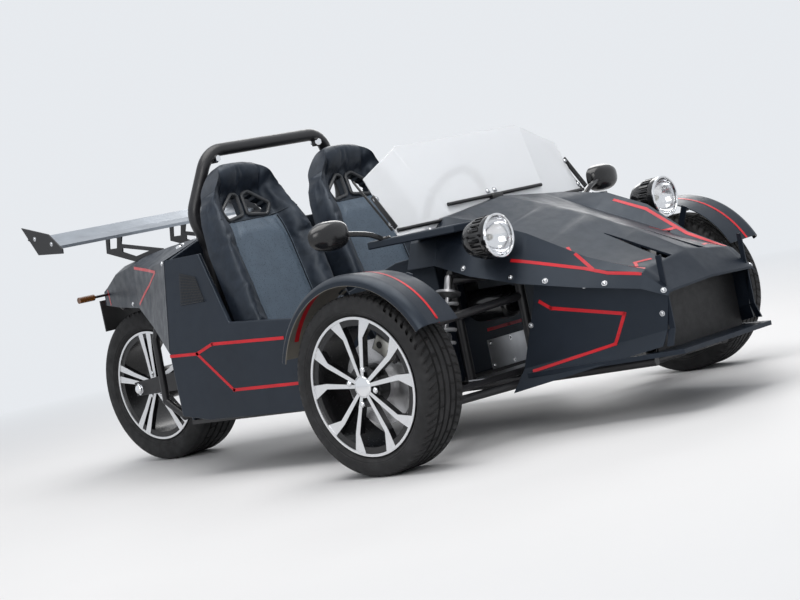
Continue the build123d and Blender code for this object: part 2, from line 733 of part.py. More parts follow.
# Wrap-round screen: a front pane and two side panes, cut down towards its rear edges
screen_wall = 4.0
screen_rows = (  # z, then (from axle, y) of the front bend and the rear edge
    (blade_z + blade_thickness, (-62.0, 232.0), (-100.0, 470.0)),
    (950.0, (-196.0, 318.0), (-226.0, 482.0)),
)
screen_cut = ((300.0, 950.0), (480.0, 866.0), (600.0, 866.0), (600.0, 1000.0), (300.0, 1000.0))  # y, z
cut_from = -500.0
cut_length = 600.0
with BuildPart() as windscreen:
    panes = []
    for z, bend, edge in screen_rows:
        with BuildSketch(Plane.XY.offset(z)) as pane:
            with BuildLine():
                line = [(ahead(edge[0]), edge[1]), (ahead(bend[0]), bend[1])]
                back = [(x - screen_wall, y) for x, y in line]
                Polyline(*line, *[(x, -y) for x, y in line[::-1]],
                         *[(x, -y) for x, y in back], *back[::-1], close=True)
            make_face()
        panes.append(pane.sketch)
    loft(panes, ruled=True)
    for side in (-1, 1):
        with BuildSketch(Plane(origin=(ahead(cut_from), 0, 0), x_dir=(0, 1, 0), z_dir=(1, 0, 0))):
            with BuildLine():
                Polyline(*[(side * y, z) for y, z in screen_cut], close=True)
            make_face()
        extrude(amount=cut_length, mode=Mode.SUBTRACT)
    add(scuttle.part, mode=Mode.SUBTRACT)
save(windscreen, "windscreen")

# Headlamps on the hood's flanks
lamp_centre = (260.0, 427.0, 618.0)  # middle of the lens, from the axle
lamp_radius = 66.0
lamp_length = 128.0
lamp_bowl = ((0.0, 26.0), (18.0, 46.0), (46.0, 60.0))  # from the bowl's back, radius
lamp_rim = 14.0
lens_seat = 10.0  # lens's back in from the rim
lens_radius = lamp_radius - 8.0
lens_edge = 6.0
lens_crown = (16.0, 13.5)  # thickness in the middle and half way out
lamp_arm_radius = 13.0
lamp_arm = ((427.0, 606.0), (300.0, 590.0))  # y, z of the arm's ends
lamp_arm_back = 60.0
with BuildPart() as headlamps:
    back = ahead(lamp_centre[0]) - lamp_length
    with BuildSketch(Plane(origin=(back, lamp_centre[1], lamp_centre[2]), x_dir=(1, 0, 0),
                           z_dir=(0, -1, 0))):
        with BuildLine():
            Polyline((0, 0), *lamp_bowl, (lamp_length - lamp_rim, lamp_radius), (lamp_length, lamp_radius),
                     (lamp_length, lens_radius), (lamp_length - lens_seat, lens_radius),
                     (lamp_length - lens_seat, 0), close=True)
        make_face()
    revolve(axis=Axis((back, lamp_centre[1], lamp_centre[2]), (1, 0, 0)))
    tube([(back + lamp_arm_back, y, z) for y, z in lamp_arm], lamp_arm_radius)
    add(hood_form.part, mode=Mode.SUBTRACT)
    mirror(about=Plane.XZ)
save(headlamps, "headlamps")

with BuildPart() as headlamp_lenses:
    lens_back = (ahead(lamp_centre[0]) - lens_seat, lamp_centre[1], lamp_centre[2])
    with BuildSketch(Plane(origin=lens_back, x_dir=(1, 0, 0), z_dir=(0, -1, 0))):
        with BuildLine():
            middle, between = lens_crown
            Polyline((lens_edge, lens_radius), (0, lens_radius), (0, 0), (middle, 0))
            ThreePointArc((middle, 0), (between, lens_radius / 2), (lens_edge, lens_radius))
        make_face()
    revolve(axis=Axis(lens_back, (1, 0, 0)))
    mirror(about=Plane.XZ)
save(headlamp_lenses, "headlamp_lenses")

# Mirrors on arms from the cowl blades
mirror_face = (-150.0, 690.0, 720.0)  # middle of the shell's front, from the axle
mirror_size = (150.0, 94.0)
mirror_round = 32.0
mirror_depth = 40.0
mirror_taper = -4.0
mirror_arm = ((-128.0, 500.0, blade_z + blade_thickness / 2), (-134.0, 560.0, 696.0), (-162.0, 640.0, 714.0))
mirror_arm_radius = 9.0
with BuildPart() as mirrors:
    tube([(ahead(x), y, z) for x, y, z in mirror_arm], mirror_arm_radius)
    with BuildSketch(Plane(origin=(ahead(mirror_face[0]), mirror_face[1], mirror_face[2]), x_dir=(0, 1, 0),
                           z_dir=(1, 0, 0))):
        RectangleRounded(*mirror_size, mirror_round)
    extrude(amount=-mirror_depth, taper=mirror_taper)
    add(cowl_blades.part, mode=Mode.SUBTRACT)
    mirror(about=Plane.XZ)
save(mirrors, "mirrors")

# Bucket seats
seat_side_gap = 32.0  # seat to the tub's inner skin
seat_half = tub_half_width - side_wall - seat_side_gap - seat_y
seat_base_rear = -800.0
seat_base_front = -395.0
seat_base_z = 300.0
seat_top_z = 1030.0
seat_lean = 196.0  # how far the back leans rearward over its height
bolster = 44.0
bolster_rise = 66.0
back_foot = 12.0  # the back's foot behind the base's rear
back_wall = 58.0
base_overlap = 60.0  # base runs this far under the back before it is cut
base_nose = ((0.0, 330.0), (-50.0, 346.0))  # from the base's front, z
base_bolster = ((-40.0, 330.0), (-90.0, 388.0))
base_bolster_rear = (-20.0, 92.0)  # from seat_base_z
cut_size = (600.0, 300.0)  # width and depth of the cut that clears the back
back_run = hypot(seat_lean, seat_top_z - seat_base_z)
back_up = Vector(-seat_lean / back_run, 0, (seat_top_z - seat_base_z) / back_run)
back_plane = Plane(origin=(ahead(seat_base_rear - back_foot), seat_y, seat_base_z), x_dir=(0, 1, 0),
                   z_dir=Vector(0, 1, 0).cross(back_up))
back_shape = (  # height along the back, half width over the seat's
    (-70.0, 0.923), (200.0, 1.0), (470.0, 0.977), (580.0, 0.847), (670.0, 0.676), (725.0, 0.477),
    (back_run, 0.234),
)
back_half = [(height, seat_half * share) for height, share in back_shape]
with BuildPart() as seat_back_left:
    with BuildSketch(back_plane):
        with BuildLine():
            Polyline(*[(w, h) for h, w in back_half], *[(-w, h) for h, w in back_half[::-1]], close=True)
        make_face()
    extrude(amount=-back_wall)
    for side in (-1, 1):
        with BuildSketch(back_plane):
            with BuildLine():
                Polyline(*[(side * w, h) for h, w in back_half[:4]],
                         *[(side * (w - bolster), h) for h, w in back_half[3::-1]], close=True)
            make_face()
        extrude(amount=bolster_rise)
save(seat_back_left, "seat_back_left")
save(mirrored(seat_back_left), "seat_back_right")

with BuildPart() as seat_base_left:
    with BuildSketch(Plane(origin=(0, seat_y - seat_half, 0), x_dir=(1, 0, 0), z_dir=(0, -1, 0))):
        with BuildLine():
            base_back = ahead(seat_base_rear - base_overlap)
            nose = [(ahead(seat_base_front + x), z) for x, z in base_nose]
            Polyline((base_back, floor_top + seat_gap), (ahead(seat_base_front), floor_top + seat_gap),
                     *nose, (base_back, seat_base_z), close=True)
        make_face()
    extrude(amount=-2 * seat_half)
    for side in (-1, 1):
        with BuildSketch(Plane(origin=(0, seat_y + side * (seat_half - bolster / 2) - bolster / 2, 0),
                               x_dir=(1, 0, 0), z_dir=(0, -1, 0))):
            with BuildLine():
                ridge = [(ahead(seat_base_front + x), z) for x, z in base_bolster]
                low, high = [(base_back, seat_base_z + z) for z in base_bolster_rear]
                Polyline(low, *ridge, high, close=True)
            make_face()
        extrude(amount=-bolster)
    with BuildSketch(back_plane.offset(seat_gap)):
        Rectangle(cut_size[0], 2 * back_run)
    extrude(amount=-cut_size[1], mode=Mode.SUBTRACT)
    with BuildSketch(back_plane.offset(bolster_rise + seat_gap)):
        inner_edge = back_half[0][1] - bolster - 1
        for side in (-1, 1):
            with Locations((side * (inner_edge + cut_size[0] / 4), 0)):
                Rectangle(cut_size[0] / 2, 2 * back_run)
    extrude(amount=-cut_size[1], mode=Mode.SUBTRACT)
save(seat_base_left, "seat_base_left")
save(mirrored(seat_base_left), "seat_base_right")

# Steering column from the scuttle, and the wheel that turns in it
steering_centre = (-500.0, seat_y, 690.0)  # from the axle
column_drop = 18.0  # degrees the column falls going forward
column_radius = 22.0
shaft_radius = 12.0
shaft_gap = 0.06
column_axis = Vector(cos(radians(column_drop)), 0, -sin(radians(column_drop)))
wheel_centre = Vector(ahead(steering_centre[0]), steering_centre[1], steering_centre[2])
column_plane = Plane(origin=wheel_centre, x_dir=(0, 1, 0), z_dir=column_axis)
column_start = 62.0
column_length = 400.0  # before the scuttle cuts it
column_bore = 130.0
shaft_length = 172.0
with BuildPart() as steering_column:
    with BuildSketch(column_plane.offset(column_start)):
        Circle(column_radius)
    extrude(amount=column_length)
    with BuildSketch(column_plane.offset(column_start)):
        Circle(shaft_radius + shaft_gap)
    extrude(amount=column_bore, mode=Mode.SUBTRACT)
    with BuildSketch(Plane(origin=(ahead(hood_rows[0][0] - scuttle_depth), seat_y, 0), x_dir=(0, 1, 0),
                           z_dir=(1, 0, 0))):
        Rectangle(column_length, 2 * blade_z)
    extrude(amount=column_length, mode=Mode.SUBTRACT)
save(steering_column, "steering_column")

grip_radius = 160.0
grip_tube = 15.0
hub_disc_radius = 46.0
hub_disc_wall = 24.0
wheel_spoke = (30.0, 6.0)  # width and thickness
with BuildPart() as steering_wheel:
    with Locations(column_plane):
        Torus(grip_radius, grip_tube)
    for angle in (0.0, 180.0, 270.0):
        out = Vector(0, cos(radians(angle)), 0) + column_plane.y_dir * sin(radians(angle))
        with BuildSketch(Plane(origin=wheel_centre, x_dir=out, z_dir=column_axis)):
            with Locations((grip_radius / 2, 0)):
                Rectangle(grip_radius, wheel_spoke[0])
        extrude(amount=wheel_spoke[1])
    with BuildSketch(column_plane):
        Circle(hub_disc_radius)
    extrude(amount=hub_disc_wall)
    with BuildSketch(column_plane):
        Circle(shaft_radius)
    extrude(amount=shaft_length)
save(steering_wheel, "steering_wheel")

# Rear frame behind the tub: rails, posts, tail rails, side tubes and the swingarm's lugs
rear_tube = 14.0
rear_frame_front = rear_bulkhead_x  # the bulkhead's back face
rear_post = -1345.0
rear_rail_y = 200.0
rear_low_z = 222.0
rear_high_z = 565.0
tail_rail = (-1890.0, 128.0, 606.0)
swing_pivot_z = 300.0
swing_pivot_x = rear_post - 34.0
lug_size = (68.0, 28.0, 60.0)
lug_ahead = 6.0  # lug's middle ahead of the pivot
lug_inner_y = 172.0
side_tube = [  # beside the rear wheel, from the tail rail down and forward
    (-1640.0, 160.0, 586.0), (-1657.0, 206.0, 463.0), (-1668.0, 206.0, 235.0), (-1581.0, 206.0, 172.0),
    (rear_post, rear_rail_y, rear_low_z),
]
low_rail = [(rear_frame_front, rear_rail_y, rear_low_z), (rear_post, rear_rail_y, rear_low_z),
            (rear_post, rear_rail_y, rear_high_z)]
high_rail = [(rear_frame_front, rear_rail_y, rear_high_z), (rear_post, rear_rail_y, rear_high_z), tail_rail]
engine_bar = rear_post + 90.0
with BuildPart() as rear_frame:
    for route in (low_rail, high_rail, side_tube):
        for path in both_sides([(ahead(x), y, z) for x, y, z in route]):
            tube(path, rear_tube)
    for x, y, z in ((rear_post, rear_rail_y, rear_low_z), (rear_post, rear_rail_y, rear_high_z), tail_rail,
                    (engine_bar, rear_rail_y, rear_low_z)):
        tube([(ahead(x), -y, z), (ahead(x), y, z)], rear_tube)
        for side in (-1, 1):
            with Locations((ahead(x), side * y, z)):
                Sphere(rear_tube * corner_swell)
    for side in (-1, 1):
        lug_y = side * (lug_inner_y + lug_size[1] / 2)
        with Locations((ahead(swing_pivot_x + lug_ahead), lug_y, swing_pivot_z)):
            Box(*lug_size)
save(rear_frame, "rear_frame")

# Rear wheel, its spoked face to the car's right
rear_hub = (rear_axle_x, 0.0, rear_radius)
rear_bead = rear_tyre_width / 2 - bead_inset
rear_ring = rear_bead_radius + rim_ring_rise
rear_spokes = ((26.0, 22.0, 13.0), (rear_ring - 80, 7.0, 17.0), (rear_ring + 2, 6.5, 26.0))
rear_hub_depth = 172.0
rear_tyre = make_tyre(rear_hub, rear_radius, rear_tyre_width, rear_bead, rear_bead_radius)
rear_rim = mirrored(make_rim(rear_hub, rear_bead, rear_bead_radius, spindle_radius + running_gap, rear_spokes,
                             rear_hub_depth, 0.0))
save(rear_tyre, "rear_tyre")
save(rear_rim, "rear_rim")

# Swingarm with the rear axle in its tips
swing_y = 140.0
swing_half_width = 13.0
swing_ends = (20.0, 34.0)  # arm past its pivot and past the axle
swing_halves = (24.0, 44.0, 34.0, 26.0)  # half heights: pivot, above and below the cross tube, axle
pivot_tube = 20.0
swing_cross_tube = 22.0
axle_end = 28.0  # axle past the arms
swing_cross_x = rear_axle_x + rear_radius + 62.0
with BuildPart() as swingarm:
    pivot_x = ahead(swing_pivot_x)
    for side in (-1, 1):
        with BuildSketch(Plane(origin=(0, side * swing_y - swing_half_width, 0), x_dir=(1, 0, 0),
                               z_dir=(0, -1, 0))):
            with BuildLine():
                at_pivot, above, below, at_axle = swing_halves
                front, back = pivot_x + swing_ends[0], rear_axle_x - swing_ends[1]
                Polyline((front, swing_pivot_z - at_pivot), (front, swing_pivot_z + at_pivot),
                         (swing_cross_x, swing_pivot_z + above), (back, rear_radius + at_axle),
                         (back, rear_radius - at_axle), (swing_cross_x, swing_pivot_z - below), close=True)
            make_face()
        extrude(amount=-2 * swing_half_width)
    for x, half, z, radius in ((pivot_x, lug_inner_y, swing_pivot_z, pivot_tube),
                               (swing_cross_x, swing_y, swing_pivot_z, swing_cross_tube),
                               (rear_axle_x, swing_y + axle_end, rear_radius, spindle_radius)):
        tube([(x, -half, z), (x, half, z)], radius)
save(swingarm, "swingarm")

with BuildPart() as rear_shock:
    add(make_coilover((swing_cross_x, 0, swing_pivot_z), (ahead(rear_post), 0, rear_high_z)).part)
    add(swingarm.part, mode=Mode.SUBTRACT)
    add(rear_frame.part, mode=Mode.SUBTRACT)
save(rear_shock, "rear_shock")

engine_half = rear_rail_y - rear_tube - 12.0
engine_ends = 44.0  # room before and behind the block
engine_head_room = 60.0
with BuildPart() as engine:
    with Locations((ahead((rear_frame_front + rear_post + rear_tube) / 2), 0, rear_low_z + rear_tube)):
        Box(rear_frame_front - rear_post - rear_tube - engine_ends, 2 * engine_half,
            rear_high_z - rear_low_z - engine_head_room, align=(Align.CENTER, Align.CENTER, Align.MIN))
save(engine, "engine")

# Rear cover: faceted shell narrowing to the tail, closed at its end
cover_rows = (  # from axle, top z, top half width, shoulder y, z, edge y, z
    (tub_rear, rear_deck_z, rear_deck_half, flank_top[0], flank_top[1], tub_half_width, crease_z),
    (-1450.0, 788.0, 226.0, 344.0, 728.0, 376.0, 522.0),
    (-1640.0, 774.0, 176.0, 252.0, 750.0, 264.0, 592.0),
    (-1850.0, 752.0, 118.0, 170.0, 728.0, 180.0, 604.0),
    (-2015.0, 684.0, 84.0, 104.0, 671.0, 108.0, 618.0),
)
tail_end = cover_rows[-1][0]


def cover_section(row, wall):
    """Closed section of the rear cover's shell, or of its filled form where wall is zero."""
    top_z, top_y, shoulder_y, shoulder_z, edge_y, edge_z = row[1:]
    outer = [(0.0, top_z), (top_y, top_z), (shoulder_y, shoulder_z), (edge_y, edge_z)]
    if not wall:
        return [*outer, (0.0, edge_z)]
    inner = [(0.0, top_z - wall), (top_y - wall / 2, top_z - wall),
             (shoulder_y - wall, shoulder_z - wall / 2), (edge_y - wall, edge_z)]
    return [*outer, *inner[::-1]]


with BuildPart() as cover_form:
    ruled_body(cover_rows, cover_section, 0)
with BuildPart() as rear_cover:
    ruled_body(cover_rows, cover_section, panel_wall)
    with BuildSketch(Plane(origin=(ahead(tail_end), 0, 0), x_dir=(0, 1, 0), z_dir=(1, 0, 0))):
        with BuildLine():
            end = cover_section(cover_rows[-1], 0)
            Polyline(*end[:-1], *[(-y, z) for y, z in end[-2:0:-1]], close=True)
        make_face()
    extrude(amount=-panel_wall)
save(rear_cover, "rear_cover")

# Rear lamps, blank plate holder
stop_lamp = (16.0, 130.0, 36.0)
stop_lamp_z = 648.0
signal_rows = (  # from the tail's end, y, then from the tail's end, y and radius of each run
    (40.0, 60.0, 34.0, 190.0, 5.0),
    (34.0, 190.0, 30.0, 258.0, 12.0),
)
signal_z = 660.0
with BuildPart() as rear_lamps:
    with Locations((ahead(tail_end) - panel_wall, 0, stop_lamp_z)):
        Box(*stop_lamp, align=(Align.MAX, Align.CENTER, Align.CENTER))
    for x, y, end_x, end_y, radius in signal_rows:
        run = [(ahead(tail_end + x), y, signal_z), (ahead(tail_end + end_x), end_y, signal_z)]
        for path in both_sides(run):
            tube(path, radius)
    add(cover_form.part, mode=Mode.SUBTRACT)
save(rear_lamps, "rear_lamps")

holder_thickness = 6.0
holder_reach = 46.0
holder_arm = 60.0  # width
holder_arm_z = 626.0
holder_sink = 4.0
plate_half = 95.0
plate_low = 520.0
plate_high = 640.0
with BuildPart() as plate_holder:
    holder_x = ahead(tail_end) - panel_wall
    with Locations((holder_x, 0, holder_arm_z)):
        Box(holder_reach + holder_sink, holder_arm, holder_thickness,
            align=(Align.MAX, Align.CENTER, Align.CENTER))
    with Locations((holder_x - holder_reach, 0, (plate_low + plate_high) / 2)):
        Box(holder_thickness, 2 * plate_half, plate_high - plate_low,
            align=(Align.MAX, Align.CENTER, Align.CENTER))
    add(rear_lamps.part, mode=Mode.SUBTRACT)
save(plate_holder, "plate_holder")

# Wing on two brackets
wing_half = 497.0
wing_front = (-1742.0, 872.0)  # from axle, z
wing_back = (-1896.0, 920.0)
wing_thickness = 11.0
wing_sag = 7.0  # camber
wing_tail = 5.0  # trailing edge's thickness
end_plate_wall = 5.0
end_plate = ((-1918.0, 965.0), (-1770.0, 921.0), (-1706.0, 858.0), (-1708.0, 842.0), (-1849.0, 855.0))
with BuildPart() as wing:
    with BuildSketch(Plane(origin=(0, -wing_half, 0), x_dir=(1, 0, 0), z_dir=(0, -1, 0))):
        with BuildLine():
            middle_x = (wing_front[0] + wing_back[0]) / 2
            middle_z = (wing_front[1] + wing_back[1]) / 2 - wing_sag
            upper = [wing_back, (middle_x, middle_z), wing_front]
            lower = [(wing_front[0], wing_front[1] - wing_thickness), (middle_x, middle_z - wing_thickness),
                     (wing_back[0], wing_back[1] - wing_tail)]
            Polyline(*[(ahead(x), z) for x, z in upper + lower], close=True)
        make_face()
    extrude(amount=-2 * wing_half)
    for side in (-1, 1):
        with BuildSketch(Plane(origin=(0, side * wing_half - end_plate_wall / 2, 0), x_dir=(1, 0, 0),
                               z_dir=(0, -1, 0))):
            with BuildLine():
                Polyline(*[(ahead(x), z) for x, z in end_plate], close=True)
            make_face()
        extrude(amount=-end_plate_wall)
save(wing, "wing")

bracket_y = 160.0
bracket_wall = 6.0
bracket_outline = ((-1560.0, 762.0), (-1560.0, 788.0), (-1790.0, 836.0), (-1774.0, 870.0), (-1866.0, 898.0),
                   (-1884.0, 812.0), (-1690.0, 748.0))
bracket_holes = (
    ((-1640.0, 790.0), (-1720.0, 780.0), (-1790.0, 806.0), (-1786.0, 820.0)),
    ((-1806.0, 860.0), (-1850.0, 872.0), (-1862.0, 826.0), (-1818.0, 824.0)),
)
with BuildPart() as wing_brackets:
    with BuildSketch(Plane(origin=(0, bracket_y - bracket_wall / 2, 0), x_dir=(1, 0, 0), z_dir=(0, -1, 0))):
        with BuildLine():
            Polyline(*[(ahead(x), z) for x, z in bracket_outline], close=True)
        make_face()
        for hole in bracket_holes:
            with BuildLine():
                Polyline(*[(ahead(x), z) for x, z in hole], close=True)
            make_face(mode=Mode.SUBTRACT)
    extrude(amount=-bracket_wall)
    add(cover_form.part, mode=Mode.SUBTRACT)
    add(wing.part, mode=Mode.SUBTRACT)
    mirror(about=Plane.XZ)
save(wing_brackets, "wing_brackets")
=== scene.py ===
"""Finishes the open three-wheeled car: paint, tyres, seats, screen, lamps and trim around its frame.

Metres. +X is forward, +Y is the car's left, +Z is up, as in the frame that is loaded.
"""

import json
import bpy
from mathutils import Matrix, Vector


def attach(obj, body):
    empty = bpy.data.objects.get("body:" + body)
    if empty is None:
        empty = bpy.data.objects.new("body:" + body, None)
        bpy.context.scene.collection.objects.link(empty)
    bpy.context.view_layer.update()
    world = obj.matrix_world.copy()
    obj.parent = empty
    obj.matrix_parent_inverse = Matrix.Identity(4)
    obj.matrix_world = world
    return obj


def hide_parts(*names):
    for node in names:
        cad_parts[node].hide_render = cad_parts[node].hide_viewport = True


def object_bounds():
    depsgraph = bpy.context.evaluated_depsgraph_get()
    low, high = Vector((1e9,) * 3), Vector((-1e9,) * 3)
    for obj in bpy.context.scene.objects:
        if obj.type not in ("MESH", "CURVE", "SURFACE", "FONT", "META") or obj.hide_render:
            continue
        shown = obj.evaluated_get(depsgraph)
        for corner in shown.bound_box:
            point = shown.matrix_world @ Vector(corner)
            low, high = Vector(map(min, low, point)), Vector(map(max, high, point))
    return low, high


bl_info = {
    "name": "Three Wheeled Car",
    "version": (1, 0, 0),
    "blender": (4, 5, 0),
    "location": "View3D > Sidebar > Three Wheeler",
    "description": "Dresses the packed three-wheeled car with its visible finishes and soft parts",
    "category": "Object",
}

from math import atan2, cos, hypot, pi, radians, sin

import bmesh
import bpy
from bpy.props import FloatProperty, FloatVectorProperty, IntProperty, PointerProperty
from mathutils import Matrix, Vector
from mathutils.bvhtree import BVHTree

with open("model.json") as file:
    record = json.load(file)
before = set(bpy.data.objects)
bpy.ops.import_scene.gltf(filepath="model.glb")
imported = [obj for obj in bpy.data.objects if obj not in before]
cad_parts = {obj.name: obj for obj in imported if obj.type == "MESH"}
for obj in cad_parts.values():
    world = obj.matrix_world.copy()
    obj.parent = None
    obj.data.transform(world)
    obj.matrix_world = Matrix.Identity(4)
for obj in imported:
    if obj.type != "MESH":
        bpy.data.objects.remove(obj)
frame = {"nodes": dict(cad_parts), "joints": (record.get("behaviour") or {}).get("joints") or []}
cad_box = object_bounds()
nodes = frame["nodes"]
SIDES = {"left": 1, "right": -1}


def joint_place(name):
    """Where a joint's axis passes, in the frame."""
    return Vector(next(joint["pos_m"] for joint in frame["joints"] if joint["name"] == name))


FRONT_AXLE_X = joint_place("front_wheel_left_spin").x
FRONT_HUB = {side: joint_place(f"front_wheel_{side}_spin") for side in SIDES}
REAR_HUB = joint_place("rear_wheel_spin")
STEERING_HUB = joint_place("steering_turn")
BOTH = (1, -1)
TREAD_EDGE = 0.022  # tread's edge in from the tyre's side
SPRING_SEAT = 0.066  # spring seat from a damper's end
SEAT_Y = 0.260
LAMP_HALF = 0.0655  # half width of the stop lamp
SIGNAL_FROM = 0.186  # where a signal's lens starts on its stalk
WING_PLATE_FROM = 0.4943
STRIPE_LIFT = 0.0007  # a stripe off its panel
STRIPE_STEP = 0.02
STRIPE_LAP = 0.48  # share of its width that a run goes past a corner
STRIPE_THICKNESS = 0.0006
FOLD_ANGLE = 28  # panel edges sharper than this are rounded, in degrees
AMBIENT_LEVEL = 0.42
FRONT_FACE = 0.0668  # turned face of a rim out from its hub's middle
REAR_FACE = 0.0858
SKY_TINT = (0.76, 0.87, 1.0, 1)  # what satin paint and leather reflect
BACK_UP = Vector((-0.196, 0, 0.730)).normalized()
BACK_OUT = Vector((0, 1, 0)).cross(BACK_UP)


def from_axle(x, y, z):
    """Point measured from the front axle along the car, in metres."""
    return Vector((FRONT_AXLE_X + x, y, z))


# Settings that a user would change


class CarPaint(bpy.types.PropertyGroup):
    body: FloatVectorProperty(name="Body", description="Satin panel colour", subtype="COLOR", size=4,
                              default=(0.0072, 0.0104, 0.0172, 1))
    stripe: FloatVectorProperty(name="Stripe", description="Pinstripe colour", subtype="COLOR", size=4,
                                default=(0.56, 0.011, 0.017, 1))
    stripe_width: FloatProperty(name="Stripe width", description="Width of the body's pinstripes",
                                unit="LENGTH", default=0.0105)
    edge_round: FloatProperty(name="Panel edge", description="Rounding of folded panel edges",
                              unit="LENGTH", default=0.004)


class CarTyres(bpy.types.PropertyGroup):
    pitches: IntProperty(name="Tread pitches", description="Tread blocks round a tyre", default=66, min=20)
    groove: FloatProperty(name="Groove depth", description="Depth of the tread grooves", unit="LENGTH",
                          default=0.0055)
    rubber: FloatVectorProperty(name="Rubber", description="Tyre colour", subtype="COLOR", size=4,
                                default=(0.016, 0.016, 0.017, 1))


class CarSeats(bpy.types.PropertyGroup):
    leather: FloatVectorProperty(name="Leather", description="Seat cover colour", subtype="COLOR", size=4,
                                 default=(0.0115, 0.0155, 0.0235, 1))
    centre: FloatVectorProperty(name="Centre", description="Pierced centre's colour", subtype="COLOR",
                                size=4, default=(0.090, 0.122, 0.162, 1))
    pressure: FloatProperty(name="Stuffing", description="Pressure inside the cover", default=4.0)
    ease: FloatProperty(name="Ease", description="Share of spare cover that puckers at the seams",
                        default=0.02)
    swell: FloatProperty(name="Swell", description="Most that the stuffing may push the cover out",
                         unit="LENGTH", default=0.010)


class CarStage(bpy.types.PropertyGroup):
    floor: FloatVectorProperty(name="Floor", description="Floor and backdrop colour", subtype="COLOR",
                               size=4, default=(0.72, 0.72, 0.73, 1))
    backdrop: FloatVectorProperty(name="Backdrop", description="Colour behind the car", subtype="COLOR",
                                  size=4, default=(0.93, 0.96, 1.0, 1))
    backdrop_level: FloatProperty(name="Backdrop level", description="Brightness behind the car",
                                  default=0.86)
    fade_from: FloatProperty(name="Fade from", description="Floor keeps its own colour up to here",
                             unit="LENGTH", default=2.4)
    fade_to: FloatProperty(name="Fade to", description="Floor has the backdrop's colour from here",
                           unit="LENGTH", default=6.5)
    yaw: FloatProperty(name="Camera yaw", description="Heading of the camera's view", default=133.63)
    pitch: FloatProperty(name="Camera pitch", description="Tilt of the camera's view", default=-2.5354)
    roll: FloatProperty(name="Camera roll", description="Turn of the camera about its view",
                        default=-11.7884)
    lens: FloatProperty(name="Lens", description="Focal length in millimetres", default=94.5)
    eye: FloatVectorProperty(name="Camera place", description="From the front axle on the ground",
                             unit="LENGTH", default=(4.324, -5.162, 0.766))


# Node trees for the finishes


class Finish:
    """A procedural material under construction."""

    def __init__(self, name, **sockets):
        self.material = bpy.data.materials.new(name)
        self.material.use_nodes = True
        self.tree = self.material.node_tree
        self.shader = self.tree.nodes["Principled BSDF"]
        self.place = self.add("ShaderNodeTexCoord")
        for socket, value in sockets.items():
            self.shader.inputs[socket.replace("_", " ")].default_value = value

    def add(self, kind, **settings):
        node = self.tree.nodes.new(kind)
        for key, value in settings.items():
            setattr(node, key, value)
        return node

    def feed(self, socket, value):
        """Link a node's output to a socket, or set the socket's value."""
        if isinstance(value, bpy.types.NodeSocket):
            self.tree.links.new(value, socket)
        else:
            socket.default_value = value

    def set(self, name, value):
        self.feed(self.shader.inputs[name], value)

    def spot(self, scale=(1, 1, 1), centre=(0, 0, 0), turn=(0, 0, 0)):
        """Object coordinates moved to a centre, turned and stretched."""
        node = self.add("ShaderNodeMapping")
        self.feed(node.inputs["Vector"], self.place.outputs["Object"])
        node.inputs["Location"].default_value = [-c * s for c, s in zip(centre, scale)]
        node.inputs["Rotation"].default_value = turn
        node.inputs["Scale"].default_value = scale
        return node.outputs["Vector"]

    def noise(self, scale, detail=3.0, rough=0.55, at=None):
        node = self.add("ShaderNodeTexNoise")
        self.feed(node.inputs["Vector"], at or self.place.outputs["Object"])
        node.inputs["Scale"].default_value = scale
        node.inputs["Detail"].default_value = detail
        node.inputs["Roughness"].default_value = rough
        return node.outputs["Fac"]

    def cells(self, scale, feature="F1", at=None, out="Distance"):
        node = self.add("ShaderNodeTexVoronoi", feature=feature)
        self.feed(node.inputs["Vector"], at or self.place.outputs["Object"])
        node.inputs["Scale"].default_value = scale
        return node.outputs[out]

    def waves(self, scale, direction="X", at=None, rings=False, distortion=0.0):
        node = self.add("ShaderNodeTexWave", wave_type="RINGS" if rings else "BANDS")
        if rings:
            node.rings_direction = direction
        else:
            node.bands_direction = direction
        self.feed(node.inputs["Vector"], at or self.place.outputs["Object"])
        node.inputs["Scale"].default_value = scale
        node.inputs["Distortion"].default_value = distortion
        return node.outputs["Fac"]

    def math(self, operation, a, b=0.0, c=0.0):
        node = self.add("ShaderNodeMath", operation=operation)
        for socket, value in zip(node.inputs, (a, b, c)):
            self.feed(socket, value)
        return node.outputs[0]

    def span(self, value, low, high, to_low=0.0, to_high=1.0):
        """Map a range of a value onto another range, clamped."""
        node = self.add("ShaderNodeMapRange")
        for socket, number in zip(node.inputs, (value, low, high, to_low, to_high)):
            self.feed(socket, number)
        return node.outputs[0]

    def mix(self, share, a, b):
        """Blend two colours."""
        node = self.add("ShaderNodeMix", data_type="RGBA")
        self.feed(node.inputs["Factor"], share)
        self.feed(node.inputs[6], a)
        self.feed(node.inputs[7], b)
        return node.outputs[2]

    def axis(self, name, at=None):
        """One coordinate of a place."""
        node = self.add("ShaderNodeSeparateXYZ")
        self.feed(node.inputs[0], at or self.place.outputs["Object"])
        return node.outputs[name]

    def bump(self, height, strength, distance, after=None):
        node = self.add("ShaderNodeBump")
        node.inputs["Strength"].default_value = strength
        node.inputs["Distance"].default_value = distance
        self.feed(node.inputs["Height"], height)
        if after:
            self.feed(node.inputs["Normal"], after)
        self.set("Normal", node.outputs[0])
        return node.outputs[0]


def shade(colour, factor):
    """A colour lightened or darkened by a factor."""
    return (*(min(1.0, c * factor) for c in colour[:3]), 1.0)


